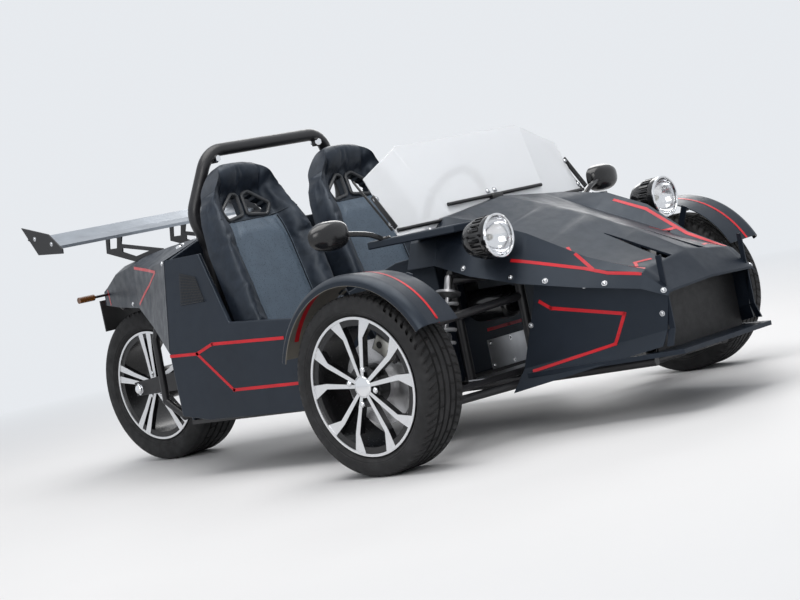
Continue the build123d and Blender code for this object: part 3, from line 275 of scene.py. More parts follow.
def satin_paint(name, colour, rough=(0.34, 0.5)):
    """Satin body paint with a fine peel and faint dusty mottling."""
    finish = Finish(name, Specular_IOR_Level=0.42, Specular_Tint=SKY_TINT)
    blotch = finish.noise(6.0, 4.0)
    fine = finish.noise(900.0, 2.0)
    finish.set("Base Color", finish.mix(finish.span(blotch, 0.35, 0.7), shade(colour, 0.86),
                                        shade(colour, 1.22)))
    finish.set("Roughness", finish.span(finish.noise(23.0, 5.0), 0.3, 0.7, *rough))
    finish.bump(fine, 0.12, 0.0004)
    return finish.material


def coated_tube(name, colour):
    """Textured black coating on steel tube."""
    finish = Finish(name, Specular_IOR_Level=0.5)
    finish.set("Base Color", finish.mix(finish.noise(18.0, 4.0), shade(colour, 0.8), shade(colour, 1.5)))
    finish.set("Roughness", finish.span(finish.noise(60.0, 3.0), 0.3, 0.7, 0.3, 0.46))
    finish.bump(finish.noise(1400.0, 2.0), 0.25, 0.0003)
    return finish.material


def tyre_rubber(name, colour):
    """Matte tyre rubber, dusty in patches."""
    finish = Finish(name, Specular_IOR_Level=0.35)
    dust = finish.span(finish.noise(11.0, 5.0), 0.5, 0.8)
    finish.set("Base Color", finish.mix(dust, colour, shade(colour, 2.1)))
    finish.set("Roughness", finish.span(finish.noise(45.0, 4.0), 0.3, 0.7, 0.6, 0.82))
    finish.bump(finish.noise(700.0, 3.0), 0.3, 0.0005)
    return finish.material


def machined_wheel(name, hub, face_low, face_high):
    """Alloy whose outermost faces are turned bright and whose pockets are gloss black."""
    finish = Finish(name)
    at = finish.spot(centre=hub)
    bright = finish.math("MULTIPLY", finish.math("GREATER_THAN", finish.axis("Y", at), face_low),
                         finish.math("LESS_THAN", finish.axis("Y", at), face_high))
    rings = finish.waves(420.0, "Y", at, rings=True)
    speck = finish.noise(160.0, 3.0)
    silver = finish.mix(speck, (0.66, 0.665, 0.68, 1), (0.82, 0.825, 0.835, 1))
    finish.set("Base Color", finish.mix(bright, (0.006, 0.006, 0.007, 1), silver))
    finish.set("Metallic", finish.math("MULTIPLY", bright, 0.92))
    finish.set("Roughness", finish.math("ADD", finish.math("MULTIPLY", bright, 0.1),
                                        finish.span(speck, 0.3, 0.7, 0.2, 0.28)))
    finish.bump(finish.math("MULTIPLY", rings, bright), 0.08, 0.0002)
    return finish.material


def turned_steel(name, hub, colour=(0.5, 0.5, 0.51, 1)):
    """Brake disc steel with turning rings and patchy stains."""
    finish = Finish(name, Metallic=1.0)
    at = finish.spot(centre=hub)
    rings = finish.waves(260.0, "Y", at, rings=True)
    stain = finish.noise(30.0, 4.0)
    finish.set("Base Color", finish.mix(stain, shade(colour, 0.7), shade(colour, 1.15)))
    finish.set("Roughness", finish.span(rings, 0.0, 1.0, 0.26, 0.4))
    finish.bump(rings, 0.15, 0.0002)
    return finish.material


def brushed_metal(name, colour, grain=(4, 260, 260), rough=(0.28, 0.42), metallic=1.0):
    """Sheet or turned metal with grain along one axis."""
    finish = Finish(name, Metallic=metallic)
    streak = finish.noise(3.0, 6.0, 0.6, finish.spot(scale=grain))
    smear = finish.noise(9.0, 4.0)
    finish.set("Base Color", finish.mix(finish.span(smear, 0.3, 0.7), shade(colour, 0.82),
                                        shade(colour, 1.12)))
    finish.set("Roughness", finish.span(streak, 0.3, 0.7, *rough))
    finish.bump(streak, 0.12, 0.0003)
    return finish.material


def cast_metal(name, colour, rough=(0.45, 0.62), metallic=0.6):
    """Sand-cast or forged metal."""
    finish = Finish(name, Metallic=metallic)
    grime = finish.span(finish.noise(14.0, 5.0), 0.42, 0.7)
    finish.set("Base Color", finish.mix(grime, colour, shade(colour, 0.45)))
    finish.set("Roughness", finish.span(finish.noise(70.0, 3.0), 0.3, 0.7, *rough))
    finish.bump(finish.noise(420.0, 4.0), 0.35, 0.0006)
    return finish.material


def moulded_plastic(name, colour, rough=(0.3, 0.42), grain=0.2, scale=800.0):
    """Moulded plastic with a fine spark grain."""
    finish = Finish(name, Specular_IOR_Level=0.5)
    finish.set("Base Color", finish.mix(finish.noise(20.0, 3.0), shade(colour, 0.8), shade(colour, 1.3)))
    finish.set("Roughness", finish.span(finish.noise(48.0, 4.0), 0.3, 0.7, *rough))
    finish.bump(finish.noise(scale, 3.0), grain, 0.0003)
    return finish.material


def seat_leather(name, colour):
    """Soft leather with pebble grain and creases; its colour is darker in the crease hollows and lighter on
    their ridges, as painted shade and highlight.
    """
    finish = Finish(name, Specular_IOR_Level=0.4, Specular_Tint=SKY_TINT, Coat_Weight=0.12,
                    Coat_Roughness=0.3)
    pebbles = finish.cells(420.0)
    creases = finish.noise(28.0, 6.0, 0.62)
    # Colour follows the crease relief: painted shade in the hollows and a painted highlight on the ridges.
    finish.set("Base Color", finish.mix(finish.span(creases, 0.35, 0.7), shade(colour, 0.75),
                                        shade(colour, 1.45)))
    finish.set("Roughness", finish.span(finish.noise(36.0, 4.0), 0.3, 0.7, 0.36, 0.52))
    low = finish.bump(creases, 0.12, 0.002)
    finish.bump(pebbles, 0.22, 0.0007, after=low)
    return finish.material


def perforated_leather(name, colour):
    """Seat centre cloth: leather pricked with fine holes, shown as dark dots of painted shade."""
    finish = Finish(name, Specular_IOR_Level=0.4)
    holes = finish.cells(190.0)
    shaded_hole = finish.math("LESS_THAN", holes, 0.22)
    tint = finish.mix(finish.noise(22.0, 4.0), shade(colour, 0.8), shade(colour, 1.25))
    # The holes are drawn darker: painted shade inside them.
    finish.set("Base Color", finish.mix(shaded_hole, tint, shade(colour, 0.25)))
    finish.set("Roughness", finish.span(finish.noise(50.0, 4.0), 0.3, 0.7, 0.5, 0.62))
    finish.bump(finish.span(holes, 0.15, 0.35), 0.3, 0.0008)
    return finish.material


def clear_sheet(name, tint, rough=0.03, clear=1.0):
    """Clear or milky plastic or glass with faint wipe marks."""
    finish = Finish(name, Transmission_Weight=clear, IOR=1.45, Base_Color=tint)
    finish.set("Roughness", finish.span(finish.noise(7.0, 5.0), 0.45, 0.75, rough, rough + 0.07))
    finish.bump(finish.noise(3.0, 2.0), 0.03, 0.002)
    return finish.material


def bright_metal(name, colour=(0.82, 0.83, 0.85, 1), rough=(0.06, 0.16)):
    """Chrome with faint smears."""
    finish = Finish(name, Metallic=1.0)
    smear = finish.noise(40.0, 4.0)
    finish.set("Base Color", finish.mix(smear, shade(colour, 0.92), colour))
    finish.set("Roughness", finish.span(smear, 0.3, 0.7, *rough))
    return finish.material


def coloured_lens(name, colour):
    """Moulded lamp lens with prism ribs inside."""
    finish = Finish(name, Transmission_Weight=0.35, IOR=1.49, Coat_Weight=0.6, Coat_Roughness=0.05)
    ribs = finish.waves(240.0, "Y")
    finish.set("Base Color", finish.mix(ribs, shade(colour, 0.7), shade(colour, 1.2)))
    finish.set("Roughness", finish.span(ribs, 0.0, 1.0, 0.08, 0.2))
    finish.bump(ribs, 0.2, 0.0008)
    return finish.material


def tail_lamp(name, red, amber, stalk):
    """Red lens in the middle, smoked lenses at the ends and black stalks between them."""
    finish = Finish(name, IOR=1.49, Coat_Weight=0.6, Coat_Roughness=0.05)
    out = finish.math("ABSOLUTE", finish.axis("Y"))
    ribs = finish.waves(240.0, "Y")
    bar = finish.math("GREATER_THAN", out, LAMP_HALF)
    end = finish.math("GREATER_THAN", out, SIGNAL_FROM)
    glow = finish.mix(ribs, shade(red, 0.7), shade(red, 1.2))
    tip = finish.mix(ribs, shade(amber, 0.7), shade(amber, 1.2))
    finish.set("Base Color", finish.mix(end, finish.mix(bar, glow, stalk), tip))
    finish.set("Roughness", finish.span(ribs, 0.0, 1.0, 0.1, 0.24))
    finish.bump(ribs, 0.2, 0.0008)
    return finish.material


def plated_wing(name, blade, plate, plate_from):
    """Brushed blade between painted end plates."""
    finish = Finish(name)
    ends = finish.math("GREATER_THAN", finish.math("ABSOLUTE", finish.axis("Y")), plate_from)
    streak = finish.noise(3.0, 6.0, 0.6, finish.spot(scale=(260, 4, 260)))
    smear = finish.span(finish.noise(9.0, 4.0), 0.3, 0.7)
    sheet = finish.mix(smear, shade(blade, 0.82), shade(blade, 1.12))
    coat = finish.mix(smear, shade(plate, 0.8), shade(plate, 1.3))
    finish.set("Base Color", finish.mix(ends, sheet, coat))
    finish.set("Metallic", finish.math("SUBTRACT", 1.0, ends))
    finish.set("Roughness", finish.span(streak, 0.3, 0.7, 0.3, 0.42))
    finish.bump(streak, 0.12, 0.0003)
    return finish.material


def two_sided_paint(name, colour, lining, hub):
    """Fender paint outside and a paler sprayed lining inside, told apart by which way the surface faces."""
    finish = Finish(name, Specular_IOR_Level=0.42, Specular_Tint=SKY_TINT)
    at = finish.spot(centre=hub, scale=(1, 0, 1))
    facing = finish.add("ShaderNodeVectorMath", operation="DOT_PRODUCT")
    finish.feed(facing.inputs[0], at)
    finish.feed(facing.inputs[1], finish.place.outputs["Normal"])
    inside = finish.math("LESS_THAN", facing.outputs["Value"], -0.05)
    blotch = finish.noise(8.0, 4.0)
    outer = finish.mix(blotch, shade(colour, 0.86), shade(colour, 1.25))
    inner = finish.mix(finish.noise(30.0, 5.0), shade(lining, 0.8), shade(lining, 1.15))
    finish.set("Base Color", finish.mix(inside, outer, inner))
    finish.set("Roughness", finish.math("ADD", finish.math("MULTIPLY", inside, 0.25),
                                        finish.span(finish.noise(23.0, 5.0), 0.3, 0.7, 0.33, 0.46)))
    finish.bump(finish.noise(900.0, 2.0), 0.12, 0.0004)
    return finish.material


# Making pieces


def settings():
    """The car's settings on the scene."""
    scene = bpy.context.scene
    return scene.car_paint, scene.car_tyres, scene.car_seats, scene.car_stage


def piece(name, bm, body, slot, *materials, smooth=35, replaces=(), recalc=True):
    """Finish a bmesh as an object that rides on a body."""
    bmesh.ops.remove_doubles(bm, verts=bm.verts, dist=1e-6)
    if recalc:
        bmesh.ops.recalc_face_normals(bm, faces=bm.faces)
    mesh = bpy.data.meshes.new(name)
    bm.to_mesh(mesh)
    bm.free()
    for material in materials:
        mesh.materials.append(material)
    if smooth:
        mesh.shade_smooth()
        mesh.set_sharp_from_angle(angle=radians(smooth))
    made = bpy.data.objects.new(name, mesh)
    bpy.context.scene.collection.objects.link(made)
    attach(made, body)
    if replaces:
        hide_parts(*replaces)
    return made


def spun(bm, profile, centre, axis, steps, out=None):
    """Spin a profile of (radius, along) round an axis through a centre; returns its faces."""
    axis = Vector(axis).normalized()
    out = Vector(out) if out else axis.orthogonal().normalized()
    centre = Vector(centre)
    line = [bm.verts.new(centre + out * r + axis * a) for r, a in profile]
    edges = [bm.edges.new(pair) for pair in zip(line, line[1:])]
    before = set(bm.faces)
    bmesh.ops.spin(bm, geom=line + edges, cent=centre, axis=axis, angle=2 * pi, steps=steps, use_merge=True)
    bmesh.ops.remove_doubles(bm, verts=bm.verts, dist=1e-6)
    return [face for face in bm.faces if face not in before]


def facing_matrix(place, normal):
    """Matrix that stands a shape's Z along a normal at a place."""
    return Matrix.Translation(Vector(place)) @ Vector(normal).to_track_quat("Z", "Y").to_matrix().to_4x4()


def raised(height):
    """Matrix that lifts a shape along its Z."""
    return Matrix.Translation((0, 0, height))


def round_edges(bm, verts, width, segments=2):
    """Bevel every edge of a box that has just been made."""
    edges = list({edge for vert in verts for edge in vert.link_edges})
    bmesh.ops.bevel(bm, geom=edges, offset=width, affect="EDGES", segments=segments, profile=0.5,
                    material=-1)


def box(bm, at, size):
    """Box of a size placed by a matrix; returns its corners."""
    return bmesh.ops.create_cube(bm, size=1.0, matrix=at @ Matrix.Diagonal((*size, 1)))["verts"]


def dome_bolt(bm, place, normal, radius):
    """Dome-headed bolt on a washer."""
    at = facing_matrix(place, normal)
    bmesh.ops.create_cone(bm, cap_ends=True, segments=16, radius1=radius * 1.45, radius2=radius * 1.4,
                          depth=radius * 0.4, matrix=at @ raised(radius * 0.1))
    bmesh.ops.create_uvsphere(bm, u_segments=14, v_segments=8, radius=radius,
                              matrix=at @ raised(radius * 0.2) @ Matrix.Scale(0.75, 4, (0, 0, 1)))


def hex_nut(bm, place, normal, radius, height):
    """Six-sided nut with a rounded top."""
    at = facing_matrix(place, normal)
    bmesh.ops.create_cone(bm, cap_ends=True, segments=6, radius1=radius, radius2=radius * 0.96,
                          depth=height, matrix=at @ raised(height / 2))
    bmesh.ops.create_uvsphere(bm, u_segments=12, v_segments=8, radius=radius * 0.78,
                              matrix=at @ raised(height) @ Matrix.Scale(0.7, 4, (0, 0, 1)))


def block(bm, low, high, bevel):
    """Rounded box between two corners."""
    round_edges(bm, box(bm, Matrix.Translation((low + high) / 2), high - low), bevel, 3)


def add_tube(bm, points, radius, closed=False, smooth=True, sides=10):
    """Join a round tube through points to a bmesh."""
    curve = bpy.data.curves.new("tube", "CURVE")
    curve.dimensions = "3D"
    curve.bevel_depth = radius
    curve.bevel_resolution = max(1, sides // 4)
    curve.use_fill_caps = not closed
    curve.resolution_u = 8
    spline = curve.splines.new("NURBS" if smooth else "POLY")
    spline.points.add(len(points) - 1)
    for point, place in zip(spline.points, points):
        point.co = (*place, 1.0)
    spline.use_cyclic_u = closed
    if smooth:
        spline.order_u = 3
        spline.use_endpoint_u = not closed
    holder = bpy.data.objects.new("tube", curve)
    bpy.context.scene.collection.objects.link(holder)
    mesh = bpy.data.meshes.new_from_object(holder.evaluated_get(bpy.context.evaluated_depsgraph_get()))
    bpy.data.objects.remove(holder)
    bpy.data.curves.remove(curve)
    bm.from_mesh(mesh)
    bpy.data.meshes.remove(mesh)


def surface_of(name):
    """Search tree over the outside of a CAD node."""
    bm = bmesh.new()
    bm.from_mesh(nodes[name].data)
    tree = BVHTree.FromBMesh(bm)
    bm.free()
    return tree


def between(points, step):
    """Points along straight runs, no further apart than a step."""
    made = [Vector(points[0])]
    for start, end in zip(points, points[1:]):
        run = Vector(end) - Vector(start)
        count = max(1, round(run.length / step))
        made += [Vector(start) + run * (i / count) for i in range(1, count + 1)]
    return made


def lay_stripe(bm, skin, path, width):
    """Lay a flat stripe on a surface along a path; each run is its own strip, lapped at the corners."""
    for start, end in zip(path, path[1:]):
        start, end = Vector(start), Vector(end)
        along = (end - start).normalized()
        row = []
        for place in between([start - along * width * STRIPE_LAP, end + along * width * STRIPE_LAP],
                             STRIPE_STEP):
            spot, normal, _, _ = skin.find_nearest(place)
            across = normal.cross(along).normalized() * width / 2
            pair = []
            for side in BOTH:
                edge, edge_normal, _, _ = skin.find_nearest(spot + across * side)
                pair.append(bm.verts.new(edge + edge_normal * STRIPE_LIFT))
            row.append(pair)
        for near, far in zip(row, row[1:]):
            bm.faces.new((near[0], near[1], far[1], far[0]))


def soften(name, width=0.0):
    """Weld a CAD node's triangles and round its folded edges without touching its own mesh."""
    part = nodes[name]
    weld = part.modifiers.new("weld", "WELD")
    weld.merge_threshold = 1e-5
    if width:
        rounding = part.modifiers.new("edge", "BEVEL")
        rounding.width = width
        rounding.segments = 2
        rounding.limit_method = "ANGLE"
        rounding.angle_limit = radians(FOLD_ANGLE)
        rounding.use_clamp_overlap = True
        rounding.harden_normals = False
    even = part.modifiers.new("shading", "WEIGHTED_NORMAL")
    even.keep_sharp = True


def dress(names, material):
    """Give CAD nodes one finish."""
    for name in names:
        mesh = nodes[name].data
        mesh.materials.clear()
        mesh.materials.append(material)
        mesh.polygons.foreach_set("material_index", [0] * len(mesh.polygons))


# Operators, one for each group of pieces


class CAR_OT_finishes(bpy.types.Operator):
    """Give every construction piece its paint, metal, rubber or plastic"""

    bl_idname = "three_wheeler.finishes"
    bl_label = "Finishes"

    def execute(self, context):
        paint, tyres, seats, _ = settings()
        body = satin_paint("body_paint", paint.body)
        panels = ["hood", "nose_sides", "splitter", "scuttle", "cowl_blades", "rear_cover",
                  "side_panel_left", "side_panel_right", "front_bulkhead", "rear_bulkhead"]
        dress(panels, body)
        for name in panels:
            soften(name, paint.edge_round)
        tubes = ["front_frame", "rear_frame", "roll_hoop", "wishbones", "swingarm", "steering_column",
                 "wing_brackets", "tie_rods"]
        dress(tubes, coated_tube("tube_coating", (0.012, 0.012, 0.014, 1)))
        for name in tubes:
            soften(name, 0.0012)
        dress(["floor_pan"], coated_tube("pan_coating", (0.014, 0.014, 0.016, 1)))
        dress(["front_tray"], brushed_metal("floor_sheet", (0.5, 0.51, 0.53, 1)))
        for side, sign in SIDES.items():
            hub = FRONT_HUB[side]
            lining = two_sided_paint(f"fender_paint_{side}", paint.body, (0.2, 0.185, 0.16, 1), hub)
            dress([f"fender_{side}"], lining)
            soften(f"fender_{side}", 0.0015)
            low, high = (FRONT_FACE, 1.0) if sign > 0 else (-1.0, -FRONT_FACE)
            dress([f"front_rim_{side}"], machined_wheel(f"front_alloy_{side}", hub, low, high))
            soften(f"front_rim_{side}", 0.0022)
            dress([f"front_disc_{side}"], turned_steel(f"disc_steel_{side}", hub))
            soften(f"front_disc_{side}", 0.0008)
        dress(["rear_rim"], machined_wheel("rear_alloy", REAR_HUB, -1.0, -REAR_FACE))
        soften("rear_rim", 0.0022)
        dress(["knuckle_left", "knuckle_right"], cast_metal("knuckle_iron", (0.11, 0.11, 0.115, 1)))
        dress(["engine"], cast_metal("engine_casing", (0.16, 0.16, 0.17, 1)))
        for name in ("knuckle_left", "knuckle_right", "engine"):
            soften(name, 0.004)
        dress(["coilovers", "rear_shock"], satin_paint("spring_paint", (0.2, 0.205, 0.21, 1)))
        dress(["windscreen"], clear_sheet("screen_milky", (0.95, 0.97, 1.0, 1), 0.06, 0.34))
        gloss = moulded_plastic("gloss_black", (0.008, 0.008, 0.009, 1), (0.06, 0.14), 0.02)
        dress(["headlamps", "mirrors", "bay_canister"], gloss)
        dress(["headlamp_lenses"], clear_sheet("lamp_glass", (1, 1, 1, 1)))
        smoked, black = (0.16, 0.055, 0.008, 1), (0.010, 0.010, 0.011, 1)
        dress(["rear_lamps"], tail_lamp("tail_lens", (0.5, 0.01, 0.012, 1), smoked, black))
        dress(["nose_intake", "plate_holder"], moulded_plastic("black_trim", black, (0.45, 0.6)))
        dress(["steering_wheel"], seat_leather("grip_leather", (0.012, 0.012, 0.013, 1)))
        dress(["wing"], plated_wing("wing_sheet", (0.33, 0.36, 0.4, 1), (0.012, 0.012, 0.014, 1),
                                    WING_PLATE_FROM))
        leather = seat_leather("seat_leather", seats.leather)
        dress([f"seat_{half}_{side}" for half in ("base", "back") for side in SIDES], leather)
        dress(["front_tyre_left", "front_tyre_right", "rear_tyre"],
              tyre_rubber("tyre_rubber", tyres.rubber))
        for name in ("windscreen", "headlamps", "headlamp_lenses", "mirrors", "steering_wheel", "wing",
                     "rear_lamps", "plate_holder", "nose_intake", "floor_pan", "coilovers", "rear_shock",
                     "front_tray", "bay_canister"):
            soften(name)
        return {"FINISHED"}


class CAR_OT_tyres(bpy.types.Operator):
    """Mould the three tyres with grooves round the tread and curved cuts across its shoulders"""

    bl_idname = "three_wheeler.tyres"
    bl_label = "Tyres"

    def execute(self, context):
        tyres = settings()[1]
        rubber = tyre_rubber("tyre_rubber", tyres.rubber)
        rows = [(f"front_tyre_{side}", f"front_wheel_{side}", FRONT_HUB[side], 0.080) for side in SIDES]
        rows.append(("rear_tyre", "rear_wheel", REAR_HUB, 0.099))
        for node, body, hub, half in rows:
            bm = bmesh.new()
            steps = 4 * tyres.pitches
            spun(bm, self.section(hub.z, half, tyres.groove), hub, (0, 1, 0), steps, (1, 0, 0))
            self.cut_across(bm, hub, half, steps, tyres.groove)
            self.sweep_back(bm, hub, half)
            piece(f"{node}_tread", bm, body, "tyre_rubber", rubber, smooth=30, replaces=(node,))
        return {"FINISHED"}

    @staticmethod
    def section(radius, half, depth):
        """Tyre section as (radius, along the axle), closed round the bead seat."""
        bead = half - 0.0175
        edge = half - TREAD_EDGE
        flank = [(0.1905, bead), (0.2105, bead), (0.2140, bead + 0.0065), (0.2205, half - 0.0060),
                 (0.2225, half - 0.0030), (0.2265, half - 0.0030), (0.2285, half - 0.0008),
                 ((0.208 + radius) / 2, half), (radius - 0.0165, half - 0.0030),
                 (radius - 0.0090, half - 0.0070), (radius - 0.0024, half - 0.0133)]
        tread = [(radius, edge), (radius, edge * 0.85)]
        for centre in (0.62, 0.21, -0.21, -0.62):
            wide, narrow = 0.0042, 0.0031
            tread += [(radius, centre * edge + wide), (radius - depth, centre * edge + narrow),
                      (radius - depth, centre * edge - narrow), (radius, centre * edge - wide)]
        tread += [(radius, -edge * 0.85), (radius, -edge)]
        return [*flank, *tread, *[(r, -a) for r, a in reversed(flank)], flank[0]]

    @staticmethod
    def cut_across(bm, hub, half, steps, depth):
        """Press the lateral cuts into the shoulders and every other rib."""
        edge = half - TREAD_EDGE
        chosen = []
        for face in bm.faces:
            spot = face.calc_center_median() - hub
            reach = hypot(spot.x, spot.z)
            step = int(atan2(spot.z, spot.x) / (2 * pi) % 1 * steps) + (2 if spot.y < 0 else 0)
            shoulder = abs(spot.y) > edge * 0.7 and reach > hub.z - 0.008
            rib = edge * 0.3 < abs(spot.y) < edge * 0.55 and reach > hub.z - 0.0005
            if (shoulder and step % 4 == 0) or (rib and step % 8 == 3):
                chosen.append(face)
        pressed = bmesh.ops.extrude_face_region(bm, geom=chosen)["geom"]
        for vert in pressed:
            if isinstance(vert, bmesh.types.BMVert):
                out = vert.co - hub
                out.y = 0
                vert.co -= out.normalized() * depth * 0.8

    @staticmethod
    def sweep_back(bm, hub, half):
        """Turn the tread's outer parts round the axle so that its cuts run in curves."""
        for vert in bm.verts:
            share = max(0.0, abs(vert.co.y - hub.y) / half - 0.2)
            turn = Matrix.Rotation(0.13 * share ** 1.6, 3, "Y")
            vert.co = hub + turn @ (vert.co - hub)


class CAR_OT_wheels(bpy.types.Operator):
    """Fit the lug nuts, centre caps, valves and caliper plates"""

    bl_idname = "three_wheeler.wheels"
    bl_label = "Wheel fittings"

    def execute(self, context):
        chrome = bright_metal("wheel_chrome")
        plate = brushed_metal("caliper_plate", (0.55, 0.54, 0.5, 1), rough=(0.34, 0.5))
        # Black for the valve stems, and painted shade for the caliper plates' holes.
        dark = moulded_plastic("valve_rubber_and_hole_shade", (0.006, 0.006, 0.006, 1), (0.5, 0.6))
        for side, sign in SIDES.items():
            hub, out = FRONT_HUB[side], Vector((0, sign, 0))
            bm = bmesh.new()
            for turn in range(4):
                hex_nut(bm, hub + out * 0.0585 + self.around(74 + 90 * turn, 0.052), out, 0.0105, 0.011)
            spun(bm, [(0.0, 0.0735), (0.016, 0.0730), (0.026, 0.0712), (0.0300, 0.0690), (0.0312, 0.0670),
                      (0.0, 0.0670)],
                 hub, out, 48)
            piece(f"lug_nuts_{side}", bm, f"front_wheel_{side}", "rim_alloy", chrome)
            bm = bmesh.new()
            stem = hub + out * 0.050 + self.around(38, 0.176)
            add_tube(bm, [stem, stem + out * 0.012 - self.around(38, 0.010)], 0.0035, smooth=False)
            piece(f"valve_{side}", bm, f"front_wheel_{side}", "grip_black", dark)
            bm, holes = bmesh.new(), bmesh.new()
            turn = Matrix.Rotation(-radians(54), 4, "Y")
            at = Matrix.Translation(hub + out * 0.0165 + self.around(54, 0.120)) @ turn
            round_edges(bm, box(bm, at, (0.046, 0.003, 0.084)), 0.001)
            # Two flat black discs on each plate stand for its holes: painted shade where one would look
            # into them.
            for along in (-0.022, 0.022):
                spot = at @ Vector((0, sign * 0.0018, along))
                bmesh.ops.create_cone(holes, cap_ends=True, segments=20, radius1=0.0105, radius2=0.0105,
                                      depth=0.002, matrix=facing_matrix(spot, out))
            piece(f"caliper_plate_{side}", bm, f"knuckle_{side}", "disc_steel", plate)
            piece(f"caliper_hole_shade_{side}", holes, f"knuckle_{side}", "grip_black", dark)
        right = Vector((0, -1, 0))
        bm = bmesh.new()
        for turn in range(5):
            hex_nut(bm, REAR_HUB + right * 0.0775 + self.around(90 + 72 * turn, 0.046), right, 0.0095,
                    0.010)
        piece("rear_lug_nuts", bm, "rear_wheel", "rim_alloy", chrome)
        bm = bmesh.new()
        for end in BOTH:
            hex_nut(bm, REAR_HUB + right * end * 0.153, right * end, 0.024, 0.012)
        piece("axle_nuts", bm, "chassis", "disc_steel", chrome)
        return {"FINISHED"}

    @staticmethod
    def around(angle, reach):
        """Step out from a hub at an angle above forward."""
        return Vector((cos(radians(angle)), 0, sin(radians(angle)))) * reach


class CAR_OT_stripes(bpy.types.Operator):
    """Lay the red pinstripes on the hood, nose, flanks, tail and fenders"""

    bl_idname = "three_wheeler.stripes"
    bl_label = "Pinstripes"

    ROWS = (  # panel, then points from the front axle on the left side
        ("hood", ((0.235, 0.361, 0.534), (0.443, 0.289, 0.471), (0.512, 0.273, 0.446),
                  (0.604, 0.242, 0.427), (0.553, 0.188, 0.457), (0.574, 0.140, 0.458))),
        ("hood", ((0.337, 0.214, 0.536), (0.410, 0.274, 0.515), (0.435, 0.276, 0.492),
                  (0.464, 0.281, 0.467))),
        ("hood", ((0.150, 0.303, 0.640), (0.270, 0.300, 0.592), (0.440, 0.254, 0.496),
                  (0.600, 0.214, 0.440))),
        ("nose_sides", ((0.273, 0.317, 0.395), (0.303, 0.309, 0.371), (0.526, 0.251, 0.318),
                        (0.481, 0.263, 0.234), (0.216, 0.340, 0.193))),
        ("front_bulkhead", ((-0.140, 0.0, 0.316), (-0.140, 0.105, 0.316))),
        ("side_panel", ((-1.180, 0.550, 0.421), (-1.045, 0.550, 0.416), (-0.962, 0.546, 0.440),
                        (-0.617, 0.550, 0.425))),
        ("side_panel", ((-1.045, 0.550, 0.416), (-0.899, 0.550, 0.279), (-0.588, 0.550, 0.273))),
        ("rear_cover", ((-1.640, 0.250, 0.740), (-1.340, 0.418, 0.712), (-1.616, 0.275, 0.606))),
        ("rear_cover", ((-1.975, 0.124, 0.672), (-1.960, 0.131, 0.622))),
    )

    def execute(self, context):
        paint = settings()[0]
        red = satin_paint("stripe_red", paint.stripe, (0.3, 0.42))
        bm = bmesh.new()
        for panel, path in self.ROWS:
            for side, sign in SIDES.items():
                skin = surface_of(f"{panel}_{side}" if panel == "side_panel" else panel)
                lay_stripe(bm, skin, [from_axle(x, y * sign, z) for x, y, z in path], paint.stripe_width)
        self.finish(bm, "body_stripes", "chassis", red)
        for side, sign in SIDES.items():
            hub, skin = FRONT_HUB[side], surface_of(f"fender_{side}")
            bm = bmesh.new()
            crown = [self.on_fender(hub, sign, angle, 0.333, -0.013 + 0.018 * (92 - angle) / 65)
                     for angle in range(92, 26, -5)]
            lay_stripe(bm, skin, crown, paint.stripe_width)
            lay_stripe(bm, skin, [crown[0], self.on_fender(hub, sign, 94, 0.333, 0.012)],
                       paint.stripe_width)
            lining = [self.on_fender(hub, sign, angle, 0.322, 0.02) for angle in range(118, 151, 4)]
            lay_stripe(bm, skin, lining, paint.stripe_width * 1.6)
            self.finish(bm, f"fender_stripe_{side}", f"knuckle_{side}", red)
        return {"FINISHED"}

    @staticmethod
    def on_fender(hub, sign, angle, reach, along):
        """Point over a fender at an angle above forward, a reach from the hub and a step outwards."""
        return hub + Vector((cos(radians(angle)) * reach, sign * along, sin(radians(angle)) * reach))

    @staticmethod
    def finish(bm, name, body, red):
        """Give the laid strips their thickness and add them."""
        bmesh.ops.solidify(bm, geom=bm.faces[:], thickness=STRIPE_THICKNESS)
        piece(name, bm, body, "body_matte", red, smooth=60)


class CAR_OT_bolts(bpy.types.Operator):
    """Set the dome-headed bolts along the panel edges, the wing ends and the screen"""

    bl_idname = "three_wheeler.bolts"
    bl_label = "Panel bolts"

    ROWS = (  # panel, bolt radius, then points from the front axle on the left side
        ("hood", 0.0065, ((0.241, 0.390, 0.486), (0.342, 0.357, 0.457), (0.510, 0.296, 0.420),
                          (0.667, 0.230, 0.367), (0.080, 0.412, 0.540))),
        ("nose_sides", 0.006, ((0.640, 0.222, 0.300), (0.420, 0.280, 0.420), (0.230, 0.330, 0.330))),
        ("windscreen", 0.0075, ((-0.156, 0.480, 0.798), (-0.100, 0.478, 0.720), (-0.088, 0.017, 0.757))),
        ("rear_cover", 0.006, ((-1.215, 0.520, 0.470), (-1.215, 0.478, 0.735), (-1.215, 0.300, 0.795),
                               (-1.700, 0.240, 0.610))),
        ("wing", 0.006, ((-1.760, 0.501, 0.884), (-1.850, 0.501, 0.915))),
        ("cowl_blades", 0.006, ((-0.020, 0.410, 0.674), (-0.120, 0.440, 0.674))),
    )

    def execute(self, context):
        chrome = bright_metal("bolt_chrome", (0.55, 0.56, 0.58, 1), (0.16, 0.28))
        bm = bmesh.new()
        for panel, radius, places in self.ROWS:
            skin = surface_of(panel)
            for x, y, z in places:
                for sign in BOTH:
                    spot, normal, _, _ = skin.find_nearest(from_axle(x, sign * y, z))
                    dome_bolt(bm, spot, normal, radius)
        piece("panel_bolts", bm, "chassis", "disc_steel", chrome)
        return {"FINISHED"}


